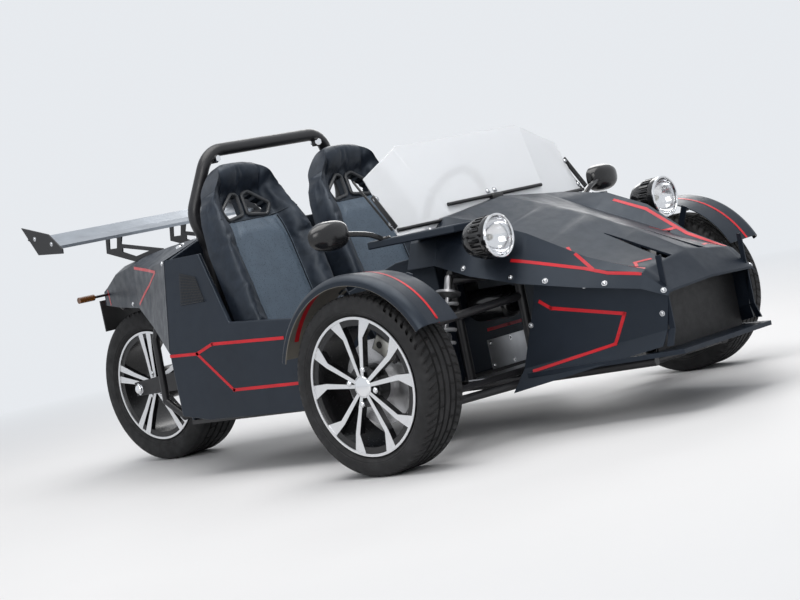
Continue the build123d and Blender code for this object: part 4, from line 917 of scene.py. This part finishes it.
class CAR_OT_screen_trim(bpy.types.Operator):
    """Edge the screen with black strips and stays"""

    bl_idname = "three_wheeler.screen_trim"
    bl_label = "Screen trim"

    def execute(self, context):
        black = moulded_plastic("strip_black", (0.01, 0.01, 0.011, 1), (0.3, 0.42))
        bm = bmesh.new()
        add_tube(bm, [from_axle(-0.083, y, 0.737) for y in (-0.235, 0.235)], 0.0062, smooth=False, sides=16)
        block(bm, from_axle(-0.094, -0.026, 0.716), from_axle(-0.072, 0.026, 0.738), 0.003)
        for sign in BOTH:
            add_tube(bm, [from_axle(-0.062, sign * 0.240, 0.692), from_axle(-0.098, sign * 0.469, 0.692)],
                     0.0060, smooth=False, sides=16)
            self.strip(bm, (-0.164, sign * 0.482, 0.808), (-0.092, sign * 0.480, 0.700), 0.016, 0.006)
            self.strip(bm, (-0.110, sign * 0.480, 0.694), (-0.230, sign * 0.484, 0.866), 0.006, 0.007)
        piece("screen_trim", bm, "chassis", "trim_black", black)
        return {"FINISHED"}

    @staticmethod
    def strip(bm, start, end, width, thick):
        """Flat bar between two points from the front axle, its width upright."""
        start, end = from_axle(*start), from_axle(*end)
        run = end - start
        at = Matrix.Translation((start + end) / 2) @ run.to_track_quat("X", "Z").to_matrix().to_4x4()
        round_edges(bm, box(bm, at, (run.length, thick, width)), thick * 0.25)


class CAR_OT_lamps(bpy.types.Operator):
    """Build the ribbed headlamp shells with their reflectors, bulbs and lenses"""

    bl_idname = "three_wheeler.lamps"
    bl_label = "Headlamps"

    def execute(self, context):
        gloss = moulded_plastic("lamp_shell", (0.008, 0.008, 0.009, 1), (0.08, 0.16), 0.02)
        chrome = bright_metal("lamp_chrome")
        glass = clear_sheet("lamp_glass", (1, 1, 1, 1))
        warm = coloured_lens("bulb_glass", (0.9, 0.88, 0.8, 1))
        shells, rings, lenses, bulbs = (bmesh.new() for _ in range(4))
        for sign in BOTH:
            back = from_axle(0.132, sign * 0.427, 0.618)
            self.shell(shells, back)
            foot = back + Vector((0.060, 0, -0.012))
            add_tube(shells, [foot, foot + Vector((0, -sign * 0.097, -0.016))], 0.0125, smooth=False,
                     sides=16)
            spun(rings, [(0.0668, 0.1255), (0.0675, 0.1300), (0.0650, 0.1325), (0.0610, 0.1315),
                         (0.0590, 0.1275), (0.0590, 0.1170), (0.0450, 0.0960), (0.0240, 0.0760),
                         (0.0, 0.0700), (0.0, 0.0680), (0.0250, 0.0735), (0.0470, 0.0940),
                         (0.0605, 0.1160), (0.0605, 0.1255), (0.0668, 0.1255)],
                 back, (1, 0, 0), 56)
            spun(lenses, [(0.0, 0.1300), (0.0300, 0.1285), (0.0585, 0.1215), (0.0585, 0.1245),
                          (0.0460, 0.1290), (0.0250, 0.1325), (0.0, 0.1338), (0.0, 0.1300)], back,
                          (1, 0, 0), 48)
            bmesh.ops.create_uvsphere(bulbs, u_segments=16, v_segments=10, radius=0.010,
                                      matrix=Matrix.Translation(back + Vector((0.092, 0, 0))))
        piece("headlamp_shells", shells, "chassis", "lamp_shell", gloss, replaces=("headlamps",))
        piece("headlamp_reflectors", rings, "chassis", "disc_steel", chrome)
        piece("headlamp_glass", lenses, "chassis", "lamp_glass", glass, replaces=("headlamp_lenses",))
        piece("headlamp_bulbs", bulbs, "chassis", "rear_lamp", warm)
        return {"FINISHED"}

    @staticmethod
    def shell(bm, back):
        """Bullet-shaped shell with raised ribs behind its front ring."""
        faces = spun(bm, [(0.0, 0.0), (0.015, 0.0008), (0.026, 0.0040), (0.038, 0.0125), (0.048, 0.0230),
                          (0.055, 0.0370), (0.0595, 0.0540), (0.0615, 0.0660), (0.0635, 0.1020),
                          (0.0655, 0.1060), (0.0660, 0.1260), (0.0610, 0.1270), (0.0610, 0.1150),
                          (0.0470, 0.0920), (0.0250, 0.0710), (0.0, 0.0660)],
                     back, (1, 0, 0), 72)
        band = [face for face in faces if 0.067 < face.calc_center_median().x - back.x < 0.101
                and (face.calc_center_median() - back).cross(Vector((1, 0, 0))).length > 0.055]
        ribs = [face for face in band
                if int(atan2(face.calc_center_median().z - back.z, face.calc_center_median().y - back.y)
                       / (2 * pi) % 1 * 72) % 3 == 0]
        raised = bmesh.ops.extrude_face_region(bm, geom=ribs)["geom"]
        for vert in raised:
            if isinstance(vert, bmesh.types.BMVert):
                out = vert.co - back
                out.x = 0
                vert.co += out.normalized() * 0.0026


class CAR_OT_mirrors(bpy.types.Operator):
    """Build the mirror shells, glasses and arms"""

    bl_idname = "three_wheeler.mirrors"
    bl_label = "Mirrors"

    def execute(self, context):
        shell = moulded_plastic("mirror_shell", (0.011, 0.011, 0.012, 1), (0.16, 0.26), 0.05)
        silver = bright_metal("mirror_silver", (0.86, 0.87, 0.89, 1), (0.01, 0.03))
        shells, glasses = bmesh.new(), bmesh.new()
        for sign in BOTH:
            head = from_axle(-0.187, sign * 0.690, 0.720)
            made = bmesh.ops.create_uvsphere(shells, u_segments=36, v_segments=24, radius=1.0)["verts"]
            for vert in made:
                x, y, z = (abs(c) ** 0.72 * (1 if c > 0 else -1) for c in vert.co)
                tip = 1 - 0.34 * max(0.0, y * sign) ** 2
                low = 1.0 if z < 0 else 0.88
                vert.co = head + Vector((x * 0.047 * tip, y * 0.078, z * 0.049 * tip * low))
            cut = bmesh.ops.bisect_plane(shells, geom=list({f for v in made for f in v.link_faces})
                                         + list({e for v in made for e in v.link_edges}) + made,
                                         plane_co=head, plane_no=(-1, 0, 0), clear_outer=True)
            rim = [edge for edge in cut["geom_cut"] if isinstance(edge, bmesh.types.BMEdge)]
            back = bmesh.ops.edgeloop_fill(shells, edges=rim)["faces"]
            bmesh.ops.inset_region(shells, faces=back, thickness=0.004, depth=0.0)
            bmesh.ops.inset_region(shells, faces=back, thickness=0.0015, depth=-0.006)
            bmesh.ops.create_uvsphere(glasses, u_segments=32, v_segments=12, radius=1.0,
                                      matrix=Matrix.Translation(head + Vector((0.0045, 0, 0)))
                                      @ Matrix.Diagonal((0.0035, 0.0660, 0.0330, 1)))
            add_tube(shells, [from_axle(-0.128, sign * 0.500, 0.668),
                              from_axle(-0.130, sign * 0.535, 0.688),
                              from_axle(-0.140, sign * 0.580, 0.704),
                              from_axle(-0.160, sign * 0.645, 0.714)], 0.0085)
            spun(shells, [(0.0, 0.006), (0.014, 0.006), (0.018, 0.003), (0.018, -0.001), (0.0, -0.001)],
                 from_axle(-0.128, sign * 0.500, 0.675), (0, 0, 1), 24)
        piece("mirror_shells", shells, "chassis", "lamp_shell", shell, replaces=("mirrors",))
        piece("mirror_glasses", glasses, "chassis", "disc_steel", silver)
        return {"FINISHED"}


class CAR_OT_springs(bpy.types.Operator):
    """Wind the coil springs over their dampers"""

    bl_idname = "three_wheeler.springs"
    bl_label = "Springs"

    def execute(self, context):
        coat = satin_paint("spring_paint", (0.23, 0.235, 0.245, 1), (0.4, 0.52))
        body = brushed_metal("damper_metal", (0.3, 0.3, 0.31, 1), (260, 260, 4))
        fronts = [((0.0, sign * 0.545, 0.152), (0.0, sign * 0.388, 0.528)) for sign in BOTH]
        rears = [((-1.510, 0.0, 0.300), (-1.345, 0.0, 0.565))]
        for name, node, rows in (("front", "coilovers", fronts), ("rear", "rear_shock", rears)):
            coils, dampers = bmesh.new(), bmesh.new()
            for foot, top in rows:
                foot, top = from_axle(*foot), from_axle(*top)
                self.damper(dampers, foot, top)
                self.coil(coils, foot, top)
            piece(f"{name}_coils", coils, "chassis", "spring_grey", coat)
            piece(f"{name}_dampers", dampers, "chassis", "disc_steel", body, replaces=(node,))
        return {"FINISHED"}

    @staticmethod
    def damper(bm, foot, top):
        """Damper body, rod and the two spring seats."""
        run = top - foot
        length, seat = run.length, SPRING_SEAT
        spun(bm, [(0.0, 0.004), (0.012, 0.004), (0.018, 0.016), (0.018, seat - 0.007),
                  (0.0395, seat - 0.007), (0.0395, seat - 0.001), (0.021, seat), (0.021, length * 0.52),
                  (0.017, length * 0.54), (0.0085, length * 0.54), (0.0085, length - seat - 0.010),
                  (0.022, length - seat - 0.006), (0.0395, length - seat + 0.001),
                  (0.0395, length - seat + 0.008), (0.014, length - seat + 0.012), (0.014, length - 0.012),
                  (0.009, length - 0.003), (0.0, length - 0.003)], foot, run, 32)

    @staticmethod
    def coil(bm, foot, top):
        """Round wire wound between the seats."""
        run = top - foot
        along = run.normalized()
        side = along.orthogonal().normalized()
        other = along.cross(side)
        turns, per_turn = 6.5, 16
        count = int(turns * per_turn)
        points = []
        for i in range(count + 1):
            angle = 2 * pi * i / per_turn
            height = SPRING_SEAT + 0.005 + (run.length - 2 * SPRING_SEAT - 0.010) * i / count
            points.append(foot + along * height + (side * cos(angle) + other * sin(angle)) * 0.0305)
        add_tube(bm, points, 0.0058, sides=10)


class CAR_OT_seats(bpy.types.Operator):
    """Upholster the two bucket seats with stuffed bolsters, pierced centres and harness holes"""

    bl_idname = "three_wheeler.seats"
    bl_label = "Seats"

    COLUMNS, ROWS = 72, 84
    LOW, TOP = -0.070, 0.756  # the back's cover along its height
    BACK_HALF = ((LOW, 0.205), (0.200, 0.222), (0.450, 0.219), (0.560, 0.199), (0.640, 0.170), (TOP, 0.154))
    SEAM = 0.60  # share of the half width where the centre meets a bolster
    HEAD_SEAM = 0.548  # height where the head meets the centre
    HOLE = (  # across, height
        (0.011, 0.640), (0.038, 0.648), (0.113, 0.589), (0.092, 0.554), (0.012, 0.568),
    )
    STEPS = 20  # frames that the stuffing settles for

    def execute(self, context):
        seats = settings()[2]
        leather = seat_leather("seat_leather", seats.leather)
        centre = perforated_leather("seat_centre", seats.centre)
        piping = seat_leather("seat_piping", shade(seats.leather, 0.5))
        frame_grey = moulded_plastic("harness_frame", (0.05, 0.053, 0.058, 1), (0.3, 0.45))
        for side, sign in SIDES.items():
            back = self.upholster(self.back_place, sign, holes=True)
            cover = piece(f"seat_cover_{side}", back, "chassis", "seat_leather", leather, centre,
                          smooth=50, replaces=(f"seat_back_{side}",))
            self.finish(cover, lambda spot: self.in_back_centre(spot, sign), seats)
            base = self.upholster(self.base_place, sign)
            cushion = piece(f"seat_cushion_{side}", base, "chassis", "seat_leather", leather, centre,
                            smooth=50, replaces=(f"seat_base_{side}",))
            self.finish(cushion, lambda spot: self.in_base_centre(spot, sign), seats)
            bm = bmesh.new()
            for u in (-self.SEAM, self.SEAM):
                rise = [h / 100 for h in range(0, 56, 2)]
                add_tube(bm, [self.on_back(u * self.half_at(h), h, sign) for h in rise], 0.0026, sides=6)
                add_tube(bm, [self.base_place(u, v / 20 - 1, 1, sign) for v in range(1, 38)], 0.0026,
                         sides=6)
            across = [x / 100 for x in range(-18, 19, 2)]
            add_tube(bm, [self.on_back(x, self.HEAD_SEAM, sign) for x in across], 0.0026, sides=6)
            piece(f"seat_piping_{side}", bm, "chassis", "seat_leather", piping)
            bm = bmesh.new()
            for half in BOTH:
                rim = [self.on_back(half * x, height, sign, 0.002) for x, height in self.HOLE]
                add_tube(bm, between([*rim, rim[0]], 0.02)[:-1], 0.0062, closed=True, sides=12)
            piece(f"harness_frames_{side}", bm, "chassis", "trim_black", frame_grey)
        return {"FINISHED"}

    @staticmethod
    def foot(sign):
        """Foot of a seat's back, on its middle line."""
        return from_axle(-0.812, sign * SEAT_Y, 0.300)

    def half_at(self, height):
        """Half width of the back at a height along it."""
        rows = self.BACK_HALF
        if height <= rows[0][0]:
            return rows[0][1]
        for (low, a), (high, b) in zip(rows, rows[1:]):
            if height <= high:
                return a + (b - a) * (height - low) / (high - low)
        return rows[-1][1]

    @staticmethod
    def step(value, low, high):
        """Smooth rise from 0 to 1 between two values."""
        t = min(1.0, max(0.0, (value - low) / (high - low)))
        return t * t * (3 - 2 * t)

    def head_top(self, u):
        """Top of the back across its width; the head is rounded."""
        return self.TOP - 0.150 * abs(u) ** 2.8

    def back_height(self, u, v):
        """Height along the back for a place on the cover."""
        return self.LOW + (v + 1) / 2 * (self.head_top(u) - self.LOW)

    def on_back(self, across, height, sign, lift=0.0):
        """Point on the back's front skin at a step across and a height along the back."""
        u = across / self.half_at(height)
        v = (height - self.LOW) / (self.head_top(u) - self.LOW) * 2 - 1
        return self.back_place(u, v, 1, sign) + BACK_OUT * lift

    def back_place(self, u, v, front, sign):
        """Point on the back's cover: u across, v up, front or rear skin."""
        height = self.back_height(u, v)
        across = u * self.half_at(height)
        c = abs(u)
        rise = 0.064 * self.step(height, -0.07, 0.10) * (1 - 0.42 * self.step(height, 0.46, 0.64))
        roll = self.step(c, 0.54, 0.80) * (1 - 0.75 * self.step(c, 0.86, 1.0) ** 1.5)
        head = 0.034 * self.step(height, 0.645, 0.72) * (1 - self.step(height, 0.73, 0.775)) * (1 - c ** 3)
        bowl = self.step(height, 0.50, 0.58) * (1 - self.step(height, 0.62, 0.70))
        sag = (1 - c * c) * (-0.010 * (1 - self.step(height, 0.5, 0.6)) - 0.026 * bowl)
        crown = -0.030 * self.step(height, 0.70, 0.765) ** 2 - 0.018 * self.step(c, 0.90, 1.0)
        if front:
            depth = rise * roll + head + sag + crown
        else:
            depth = -0.056 + 0.020 * self.step(c, 0.75, 1.0) + 0.018 * self.step(height, 0.66, 0.76)
        return self.foot(sign) + Vector((0, across, 0)) + BACK_UP * height + BACK_OUT * depth

    def base_place(self, u, v, front, sign):
        """Point on the cushion's cover: u across, v forward, upper or lower skin."""
        x = -0.806 + (v + 1) / 2 * 0.408
        c = abs(u)
        across = u * (0.222 - 0.012 * self.step(v, 0.5, 1.0))
        roll = self.step(c, 0.56, 0.80) * (1 - 0.6 * self.step(c, 0.88, 1.0) ** 1.5)
        bolster = 0.058 * roll * (1 - 0.75 * self.step(v, 0.45, 1.0))
        level = 0.302 + 0.034 * (v + 1) / 2 + 0.010 * self.step(v, 0.1, 0.7)
        nose = -0.040 * self.step(v, 0.78, 1.0) ** 2
        dish = -0.010 * (1 - c * c) * (1 - self.step(v, 0.3, 0.9))
        z = level + bolster + nose + dish - 0.012 * self.step(c, 0.92, 1.0) if front else 0.193
        return from_axle(x, sign * SEAT_Y + across, z)

    def upholster(self, place, sign, holes=False):
        """Two skins over a grid of places, joined round the edge and through the harness holes."""
        bm = bmesh.new()
        sewn = bm.verts.layers.float.new("sewn")
        spots, gone = {}, []
        for front in (1, 0):
            made = bmesh.ops.create_grid(bm, x_segments=self.COLUMNS, y_segments=self.ROWS,
                                         size=1.0)["verts"]
            if holes:
                gone += [face for face in {f for v in made for f in v.link_faces} if self.in_hole(face)]
            for vert in made:
                spots[vert] = vert.co.copy()
                vert[sewn] = float(not front or self.is_sewn(vert.co.x, vert.co.y, holes))
        if gone:
            bmesh.ops.delete(bm, geom=gone, context="FACES")
        loops = {"outer": [], -1: [], 1: []}
        for edge in [edge for edge in bm.edges if edge.is_boundary]:
            middle = (spots[edge.verts[0]] + spots[edge.verts[1]]) / 2
            if max(abs(middle.x), abs(middle.y)) > 0.999:
                loops["outer"].append(edge)
                continue
            loops[1 if middle.x > 0 else -1].append(edge)
            for vert in edge.verts:
                vert[sewn] = 1.0
        count = len(bm.verts) // 2
        for index, vert in enumerate(bm.verts):
            vert.co = place(spots[vert].x, spots[vert].y, index < count, sign)
        for edges in loops.values():
            if edges:
                bmesh.ops.bridge_loops(bm, edges=edges)
        return bm

    def is_sewn(self, u, v, back):
        """Whether a place on the front skin is held by a seam or an edge."""
        if max(abs(u), abs(v)) > 0.985:
            return True
        side = abs(abs(u) - self.SEAM) < 0.018
        if not back:
            return side
        height = self.back_height(u, v)
        return (side and height < self.HEAD_SEAM) or abs(height - self.HEAD_SEAM) < 0.006

    def in_hole(self, face):
        """Whether a grid face lies in a harness hole."""
        spot = face.calc_center_median()
        height = self.back_height(spot.x, spot.y)
        place = Vector((abs(spot.x) * self.half_at(height), height))
        corners = [Vector(corner) for corner in self.HOLE]
        return all((after - before).cross(place - before) < 0
                   for before, after in zip(corners, [*corners[1:], corners[0]]))

    def in_back_centre(self, spot, sign):
        """Whether a place lies on the pierced centre of the back."""
        local = spot - self.foot(sign)
        height, depth = local.dot(BACK_UP), local.dot(BACK_OUT)
        within = abs(local.y) < self.SEAM * self.half_at(height)
        return within and -0.06 < height < self.HEAD_SEAM and depth > -0.03

    def in_base_centre(self, spot, sign):
        """Whether a place lies on the pierced centre of the cushion."""
        return abs(spot.y - sign * SEAT_Y) < self.SEAM * 0.215 and spot.z > 0.25

    def finish(self, made, is_centre, seats):
        for polygon in made.data.polygons:
            polygon.material_index = 1 if is_centre(polygon.center) else 0
        self.stuff(made, seats)

    def stuff(self, made, seats):
        """Blow the cover up against its seams with a cloth simulation, and keep the result in its mesh."""
        mesh = made.data
        held = [index for index, mark in enumerate(mesh.attributes["sewn"].data) if mark.value > 0.5]
        mesh.attributes.remove(mesh.attributes["sewn"])
        made.vertex_groups.new(name="sewn").add(held, 1.0, "REPLACE")
        cloth = made.modifiers.new("stuffing", "CLOTH")
        cloth.settings.vertex_group_mass = "sewn"
        cloth.settings.use_pressure = True
        cloth.settings.uniform_pressure_force = seats.pressure
        cloth.settings.shrink_min = -seats.ease
        cloth.settings.effector_weights.gravity = 0.0
        cloth.collision_settings.use_collision = False
        cloth.point_cache.frame_end = self.STEPS
        scene = bpy.context.scene
        for frame_number in range(1, self.STEPS + 1):
            scene.frame_set(frame_number)
        shaped = made.evaluated_get(bpy.context.evaluated_depsgraph_get())
        for vert, blown in zip(mesh.vertices, shaped.to_mesh().vertices):
            move = blown.co - vert.co
            if move.length > seats.swell:
                move *= seats.swell / move.length
            vert.co += move
        shaped.to_mesh_clear()
        made.modifiers.remove(cloth)
        made.vertex_groups.clear()
        scene.frame_set(1)


class CAR_OT_cockpit(bpy.types.Operator):
    """Set the gauges, horn pad and pedals"""

    bl_idname = "three_wheeler.cockpit"
    bl_label = "Cockpit"

    def execute(self, context):
        black = moulded_plastic("dash_black", (0.012, 0.012, 0.013, 1), (0.35, 0.5))
        chrome = bright_metal("gauge_chrome")
        dial = moulded_plastic("dial_white", (0.5, 0.5, 0.48, 1), (0.4, 0.5), 0.05)
        alloy = brushed_metal("pedal_alloy", (0.5, 0.5, 0.51, 1))
        rear = Vector((-1, 0, 0))
        dials, bezels = bmesh.new(), bmesh.new()
        for y, radius in ((0.215, 0.044), (0.305, 0.044), (0.130, 0.028), (0.060, 0.028)):
            centre = from_axle(-0.171, y, 0.652)
            spun(bezels, [(radius, 0.0), (radius + 0.004, 0.004), (radius + 0.002, 0.012),
                          (radius - 0.003, 0.010), (radius - 0.004, 0.004), (radius - 0.004, 0.0),
                          (radius, 0.0)], centre, rear, 40)
            spun(dials, [(0.0, 0.004), (radius - 0.004, 0.004), (radius - 0.004, 0.0), (0.0, 0.0)], centre,
                 rear, 40)
        piece("gauge_bezels", bezels, "chassis", "disc_steel", chrome)
        piece("gauge_dials", dials, "chassis", "trim_black", dial)
        bm = bmesh.new()
        for y in (0.200, 0.150, 0.095):
            foot = from_axle(-0.170, y, 0.520)
            pad = from_axle(-0.215, y, 0.330)
            add_tube(bm, [foot, foot + Vector((-0.030, 0, -0.080)), pad], 0.006)
            block(bm, pad + Vector((-0.012, -0.022, -0.032)), pad + Vector((0.0, 0.022, 0.032)), 0.003)
        piece("pedals", bm, "chassis", "disc_steel", alloy)
        bm = bmesh.new()
        back = Vector((-cos(radians(18)), 0, sin(radians(18))))
        spun(bm, [(0.0, 0.012), (0.026, 0.011), (0.038, 0.007), (0.043, 0.0), (0.043, -0.004),
                  (0.0, -0.004)],
             STEERING_HUB, back, 40)
        piece("horn_pad", bm, "steering", "grip_black", black)
        return {"FINISHED"}


class CAR_OT_tail(bpy.types.Operator):
    """Add the flank grilles, deck latches, hoop clamps and bay fittings"""

    bl_idname = "three_wheeler.tail"
    bl_label = "Tail and fittings"

    GRILLE = (  # corners from the front axle on the left side
        (-1.105, 0.520, 0.585), (-0.985, 0.520, 0.585), (-1.025, 0.500, 0.668), (-1.105, 0.500, 0.690),
    )

    def execute(self, context):
        black = moulded_plastic("fitting_black", (0.009, 0.009, 0.01, 1), (0.35, 0.5))
        chrome = bright_metal("fitting_chrome")
        bm = bmesh.new()
        for side, sign in SIDES.items():
            skin = surface_of(f"side_panel_{side}")
            corner = [from_axle(x, sign * y, z) for x, y, z in self.GRILLE]
            made = bmesh.ops.create_grid(bm, x_segments=14, y_segments=10, size=1.0)["verts"]
            for vert in made:
                s, t = (vert.co.x + 1) / 2, (vert.co.y + 1) / 2
                low = corner[0].lerp(corner[1], s)
                high = corner[3].lerp(corner[2], s)
                spot, normal, _, _ = skin.find_nearest(low.lerp(high, t))
                vert.co = spot + normal * 0.003
            faces = list({face for vert in made for face in vert.link_faces})
            bmesh.ops.wireframe(bm, faces=faces, thickness=0.0022, use_replace=True, use_boundary=True,
                                use_even_offset=True)
        piece("flank_grilles", bm, "chassis", "trim_black", black, recalc=False)
        bm = bmesh.new()
        deck = surface_of("rear_cover")
        for sign in BOTH:
            spot, normal, _, _ = deck.find_nearest(from_axle(-1.296, sign * 0.308, 0.781))
            at = facing_matrix(spot, normal)
            bmesh.ops.create_cone(bm, cap_ends=True, segments=24, radius1=0.017, radius2=0.015, depth=0.006,
                                  matrix=at @ raised(0.003))
            box(bm, at @ raised(0.008), (0.024, 0.006, 0.008))
        for sign in BOTH:
            corner = from_axle(-1.092, sign * 0.250, 1.052)
            bmesh.ops.create_cone(bm, cap_ends=True, segments=16, radius1=0.008, radius2=0.008, depth=0.030,
                                  matrix=facing_matrix(corner, (1, 0, 0)))
            bmesh.ops.create_cone(bm, cap_ends=True, segments=6, radius1=0.012, radius2=0.012, depth=0.010,
                                  matrix=facing_matrix(corner + Vector((0.018, 0, 0)), (1, 0, 0)))
        piece("latches", bm, "chassis", "disc_steel", chrome)
        bm = bmesh.new()
        for sign in BOTH:
            block(bm, from_axle(-1.102, sign * 0.262 - 0.022, 1.038),
                  from_axle(-1.082, sign * 0.262 + 0.022, 1.078), 0.004)
        piece("hoop_clamps", bm, "chassis", "trim_black", black)
        self.bay_plate(chrome)
        return {"FINISHED"}

    @staticmethod
    def bay_plate(chrome):
        """Aluminium plate bolted to the front of the bulkhead, behind the open bay."""
        sheet = brushed_metal("bay_sheet", (0.55, 0.56, 0.58, 1), rough=(0.3, 0.44))
        low, high = from_axle(-0.1400, -0.122, 0.188), from_axle(-0.1372, 0.100, 0.284)
        bm = bmesh.new()
        block(bm, low, high, 0.0008)
        piece("bay_plate", bm, "chassis", "disc_steel", sheet)
        bm = bmesh.new()
        inset = 0.012
        for y in (low.y + inset, (low.y + high.y) / 2, high.y - inset):
            for z in (low.z + inset, high.z - inset):
                dome_bolt(bm, Vector((high.x, y, z)), Vector((1, 0, 0)), 0.005)
        piece("bay_plate_bolts", bm, "chassis", "disc_steel", chrome)


class CAR_OT_stage(bpy.types.Operator):
    """Lay the pale floor, hang the soft lights and set the camera where the photograph was taken from"""

    bl_idname = "three_wheeler.stage"
    bl_label = "Stage"

    def execute(self, context):
        stage = settings()[3]
        scene = context.scene
        scene.view_settings.view_transform = "Standard"
        self.lay_floor(stage)
        self.light_world(scene, stage)
        self.hang_lights()
        self.aim_camera(scene, stage)
        return {"FINISHED"}

    @staticmethod
    def lay_floor(stage):
        bm = bmesh.new()
        bmesh.ops.create_grid(bm, x_segments=1, y_segments=1, size=60.0)
        mesh = bpy.data.meshes.new("floor")
        bm.to_mesh(mesh)
        bm.free()
        finish = Finish("floor_screed", Specular_IOR_Level=0.3)
        patch = finish.noise(1.3, 5.0)
        finish.set("Base Color", finish.mix(patch, shade(stage.floor, 0.96), shade(stage.floor, 1.03)))
        finish.set("Roughness", finish.span(patch, 0.3, 0.7, 0.55, 0.7))
        CAR_OT_stage.fade_out(finish, stage)
        mesh.materials.append(finish.material)
        floor = bpy.data.objects.new("floor", mesh)
        floor.location.z = -0.0005
        bpy.context.scene.collection.objects.link(floor)

    @staticmethod
    def fade_out(finish, stage):
        """Let the floor run into the backdrop's colour away from the car, where a view sees it."""
        rays = finish.add("ShaderNodeLightPath")
        away = finish.add("ShaderNodeVectorMath", operation="LENGTH")
        finish.feed(away.inputs[0], finish.place.outputs["Object"])
        seen = finish.math("MAXIMUM", rays.outputs["Is Camera Ray"], rays.outputs["Is Glossy Ray"])
        seen = finish.math("MAXIMUM", seen, rays.outputs["Is Transmission Ray"])
        far = finish.span(away.outputs["Value"], stage.fade_from, stage.fade_to)
        glow = finish.add("ShaderNodeEmission")
        glow.inputs["Color"].default_value = stage.backdrop
        glow.inputs["Strength"].default_value = stage.backdrop_level
        blend = finish.add("ShaderNodeMixShader")
        finish.feed(blend.inputs[0], finish.math("MULTIPLY", far, seen))
        finish.feed(blend.inputs[1], finish.shader.outputs[0])
        finish.feed(blend.inputs[2], glow.outputs[0])
        finish.feed(finish.tree.nodes["Material Output"].inputs["Surface"], blend.outputs[0])

    @staticmethod
    def light_world(scene, stage):
        world = bpy.data.worlds.new("studio")
        scene.world = world
        world.use_nodes = True
        tree = world.node_tree
        background = tree.nodes["Background"]
        rays = tree.nodes.new("ShaderNodeLightPath")
        seen = tree.nodes.new("ShaderNodeMath")
        seen.operation = "MAXIMUM"
        any_view = tree.nodes.new("ShaderNodeMath")
        any_view.operation = "MAXIMUM"
        tree.links.new(rays.outputs["Is Camera Ray"], seen.inputs[0])
        tree.links.new(rays.outputs["Is Glossy Ray"], seen.inputs[1])
        tree.links.new(seen.outputs[0], any_view.inputs[0])
        tree.links.new(rays.outputs["Is Transmission Ray"], any_view.inputs[1])
        level = tree.nodes.new("ShaderNodeMapRange")
        level.inputs["To Min"].default_value = AMBIENT_LEVEL
        level.inputs["To Max"].default_value = stage.backdrop_level
        tree.links.new(any_view.outputs[0], level.inputs["Value"])
        tree.links.new(level.outputs[0], background.inputs["Strength"])
        background.inputs["Color"].default_value = stage.backdrop

    @staticmethod
    def hang_lights():
        middle = (Vector(cad_box[0]) + Vector(cad_box[1])) / 2
        rows = (  # name, place, size, watts
            ("overhead", (0.2, -0.3, 4.6), 4.5, 210.0),
            ("camera_side", (4.2, -4.8, 3.2), 3.0, 110.0),
            ("far_side", (-2.8, 4.6, 2.9), 3.0, 80.0),
        )
        for name, place, size, watts in rows:
            lamp = bpy.data.lights.new(name, "AREA")
            lamp.size = size
            lamp.energy = watts
            lamp.color = (1.0, 0.985, 0.96)
            holder = bpy.data.objects.new(name, lamp)
            holder.location = place
            holder.rotation_euler = (middle - Vector(place)).to_track_quat("-Z", "Y").to_euler()
            bpy.context.scene.collection.objects.link(holder)

    @staticmethod
    def aim_camera(scene, stage):
        yaw, pitch, roll = radians(stage.yaw), radians(stage.pitch), radians(stage.roll)
        ahead = Vector((cos(yaw) * cos(pitch), sin(yaw) * cos(pitch), sin(pitch)))
        level = ahead.cross(Vector((0, 0, 1))).normalized()
        upright = level.cross(ahead)
        right = level * cos(roll) + upright * sin(roll)
        up = upright * cos(roll) - level * sin(roll)
        lens = bpy.data.cameras.new("camera")
        lens.lens = stage.lens
        lens.sensor_width = 36.0
        camera = bpy.data.objects.new("camera", lens)
        turn = Matrix((right, up, -ahead)).transposed().to_4x4()
        camera.matrix_world = Matrix.Translation(from_axle(*stage.eye)) @ turn
        scene.collection.objects.link(camera)
        scene.camera = camera


class CAR_PT_panel(bpy.types.Panel):
    """Sidebar list of the car's pieces"""

    bl_label = "Three Wheeler"
    bl_idname = "CAR_PT_panel"
    bl_space_type = "VIEW_3D"
    bl_region_type = "UI"
    bl_category = "Three Wheeler"

    def draw(self, context):
        for operator in STEPS:
            self.layout.operator(operator.bl_idname)


STEPS = (CAR_OT_finishes, CAR_OT_tyres, CAR_OT_wheels, CAR_OT_stripes, CAR_OT_bolts, CAR_OT_screen_trim,
         CAR_OT_lamps, CAR_OT_mirrors, CAR_OT_springs, CAR_OT_seats, CAR_OT_cockpit, CAR_OT_tail,
         CAR_OT_stage)
GROUPS = {"car_paint": CarPaint, "car_tyres": CarTyres, "car_seats": CarSeats, "car_stage": CarStage}


def register():
    for group in GROUPS.values():
        bpy.utils.register_class(group)
    for operator in STEPS:
        bpy.utils.register_class(operator)
    bpy.utils.register_class(CAR_PT_panel)
    for name, group in GROUPS.items():
        setattr(bpy.types.Scene, name, PointerProperty(type=group))


def unregister():
    for name in GROUPS:
        delattr(bpy.types.Scene, name)
    bpy.utils.unregister_class(CAR_PT_panel)
    for operator in reversed(STEPS):
        bpy.utils.unregister_class(operator)
    for group in GROUPS.values():
        bpy.utils.unregister_class(group)


def main():
    register()
    for operator in STEPS:
        group, name = operator.bl_idname.split(".")
        getattr(getattr(bpy.ops, group), name)()


if __name__ == "__main__":
    main()
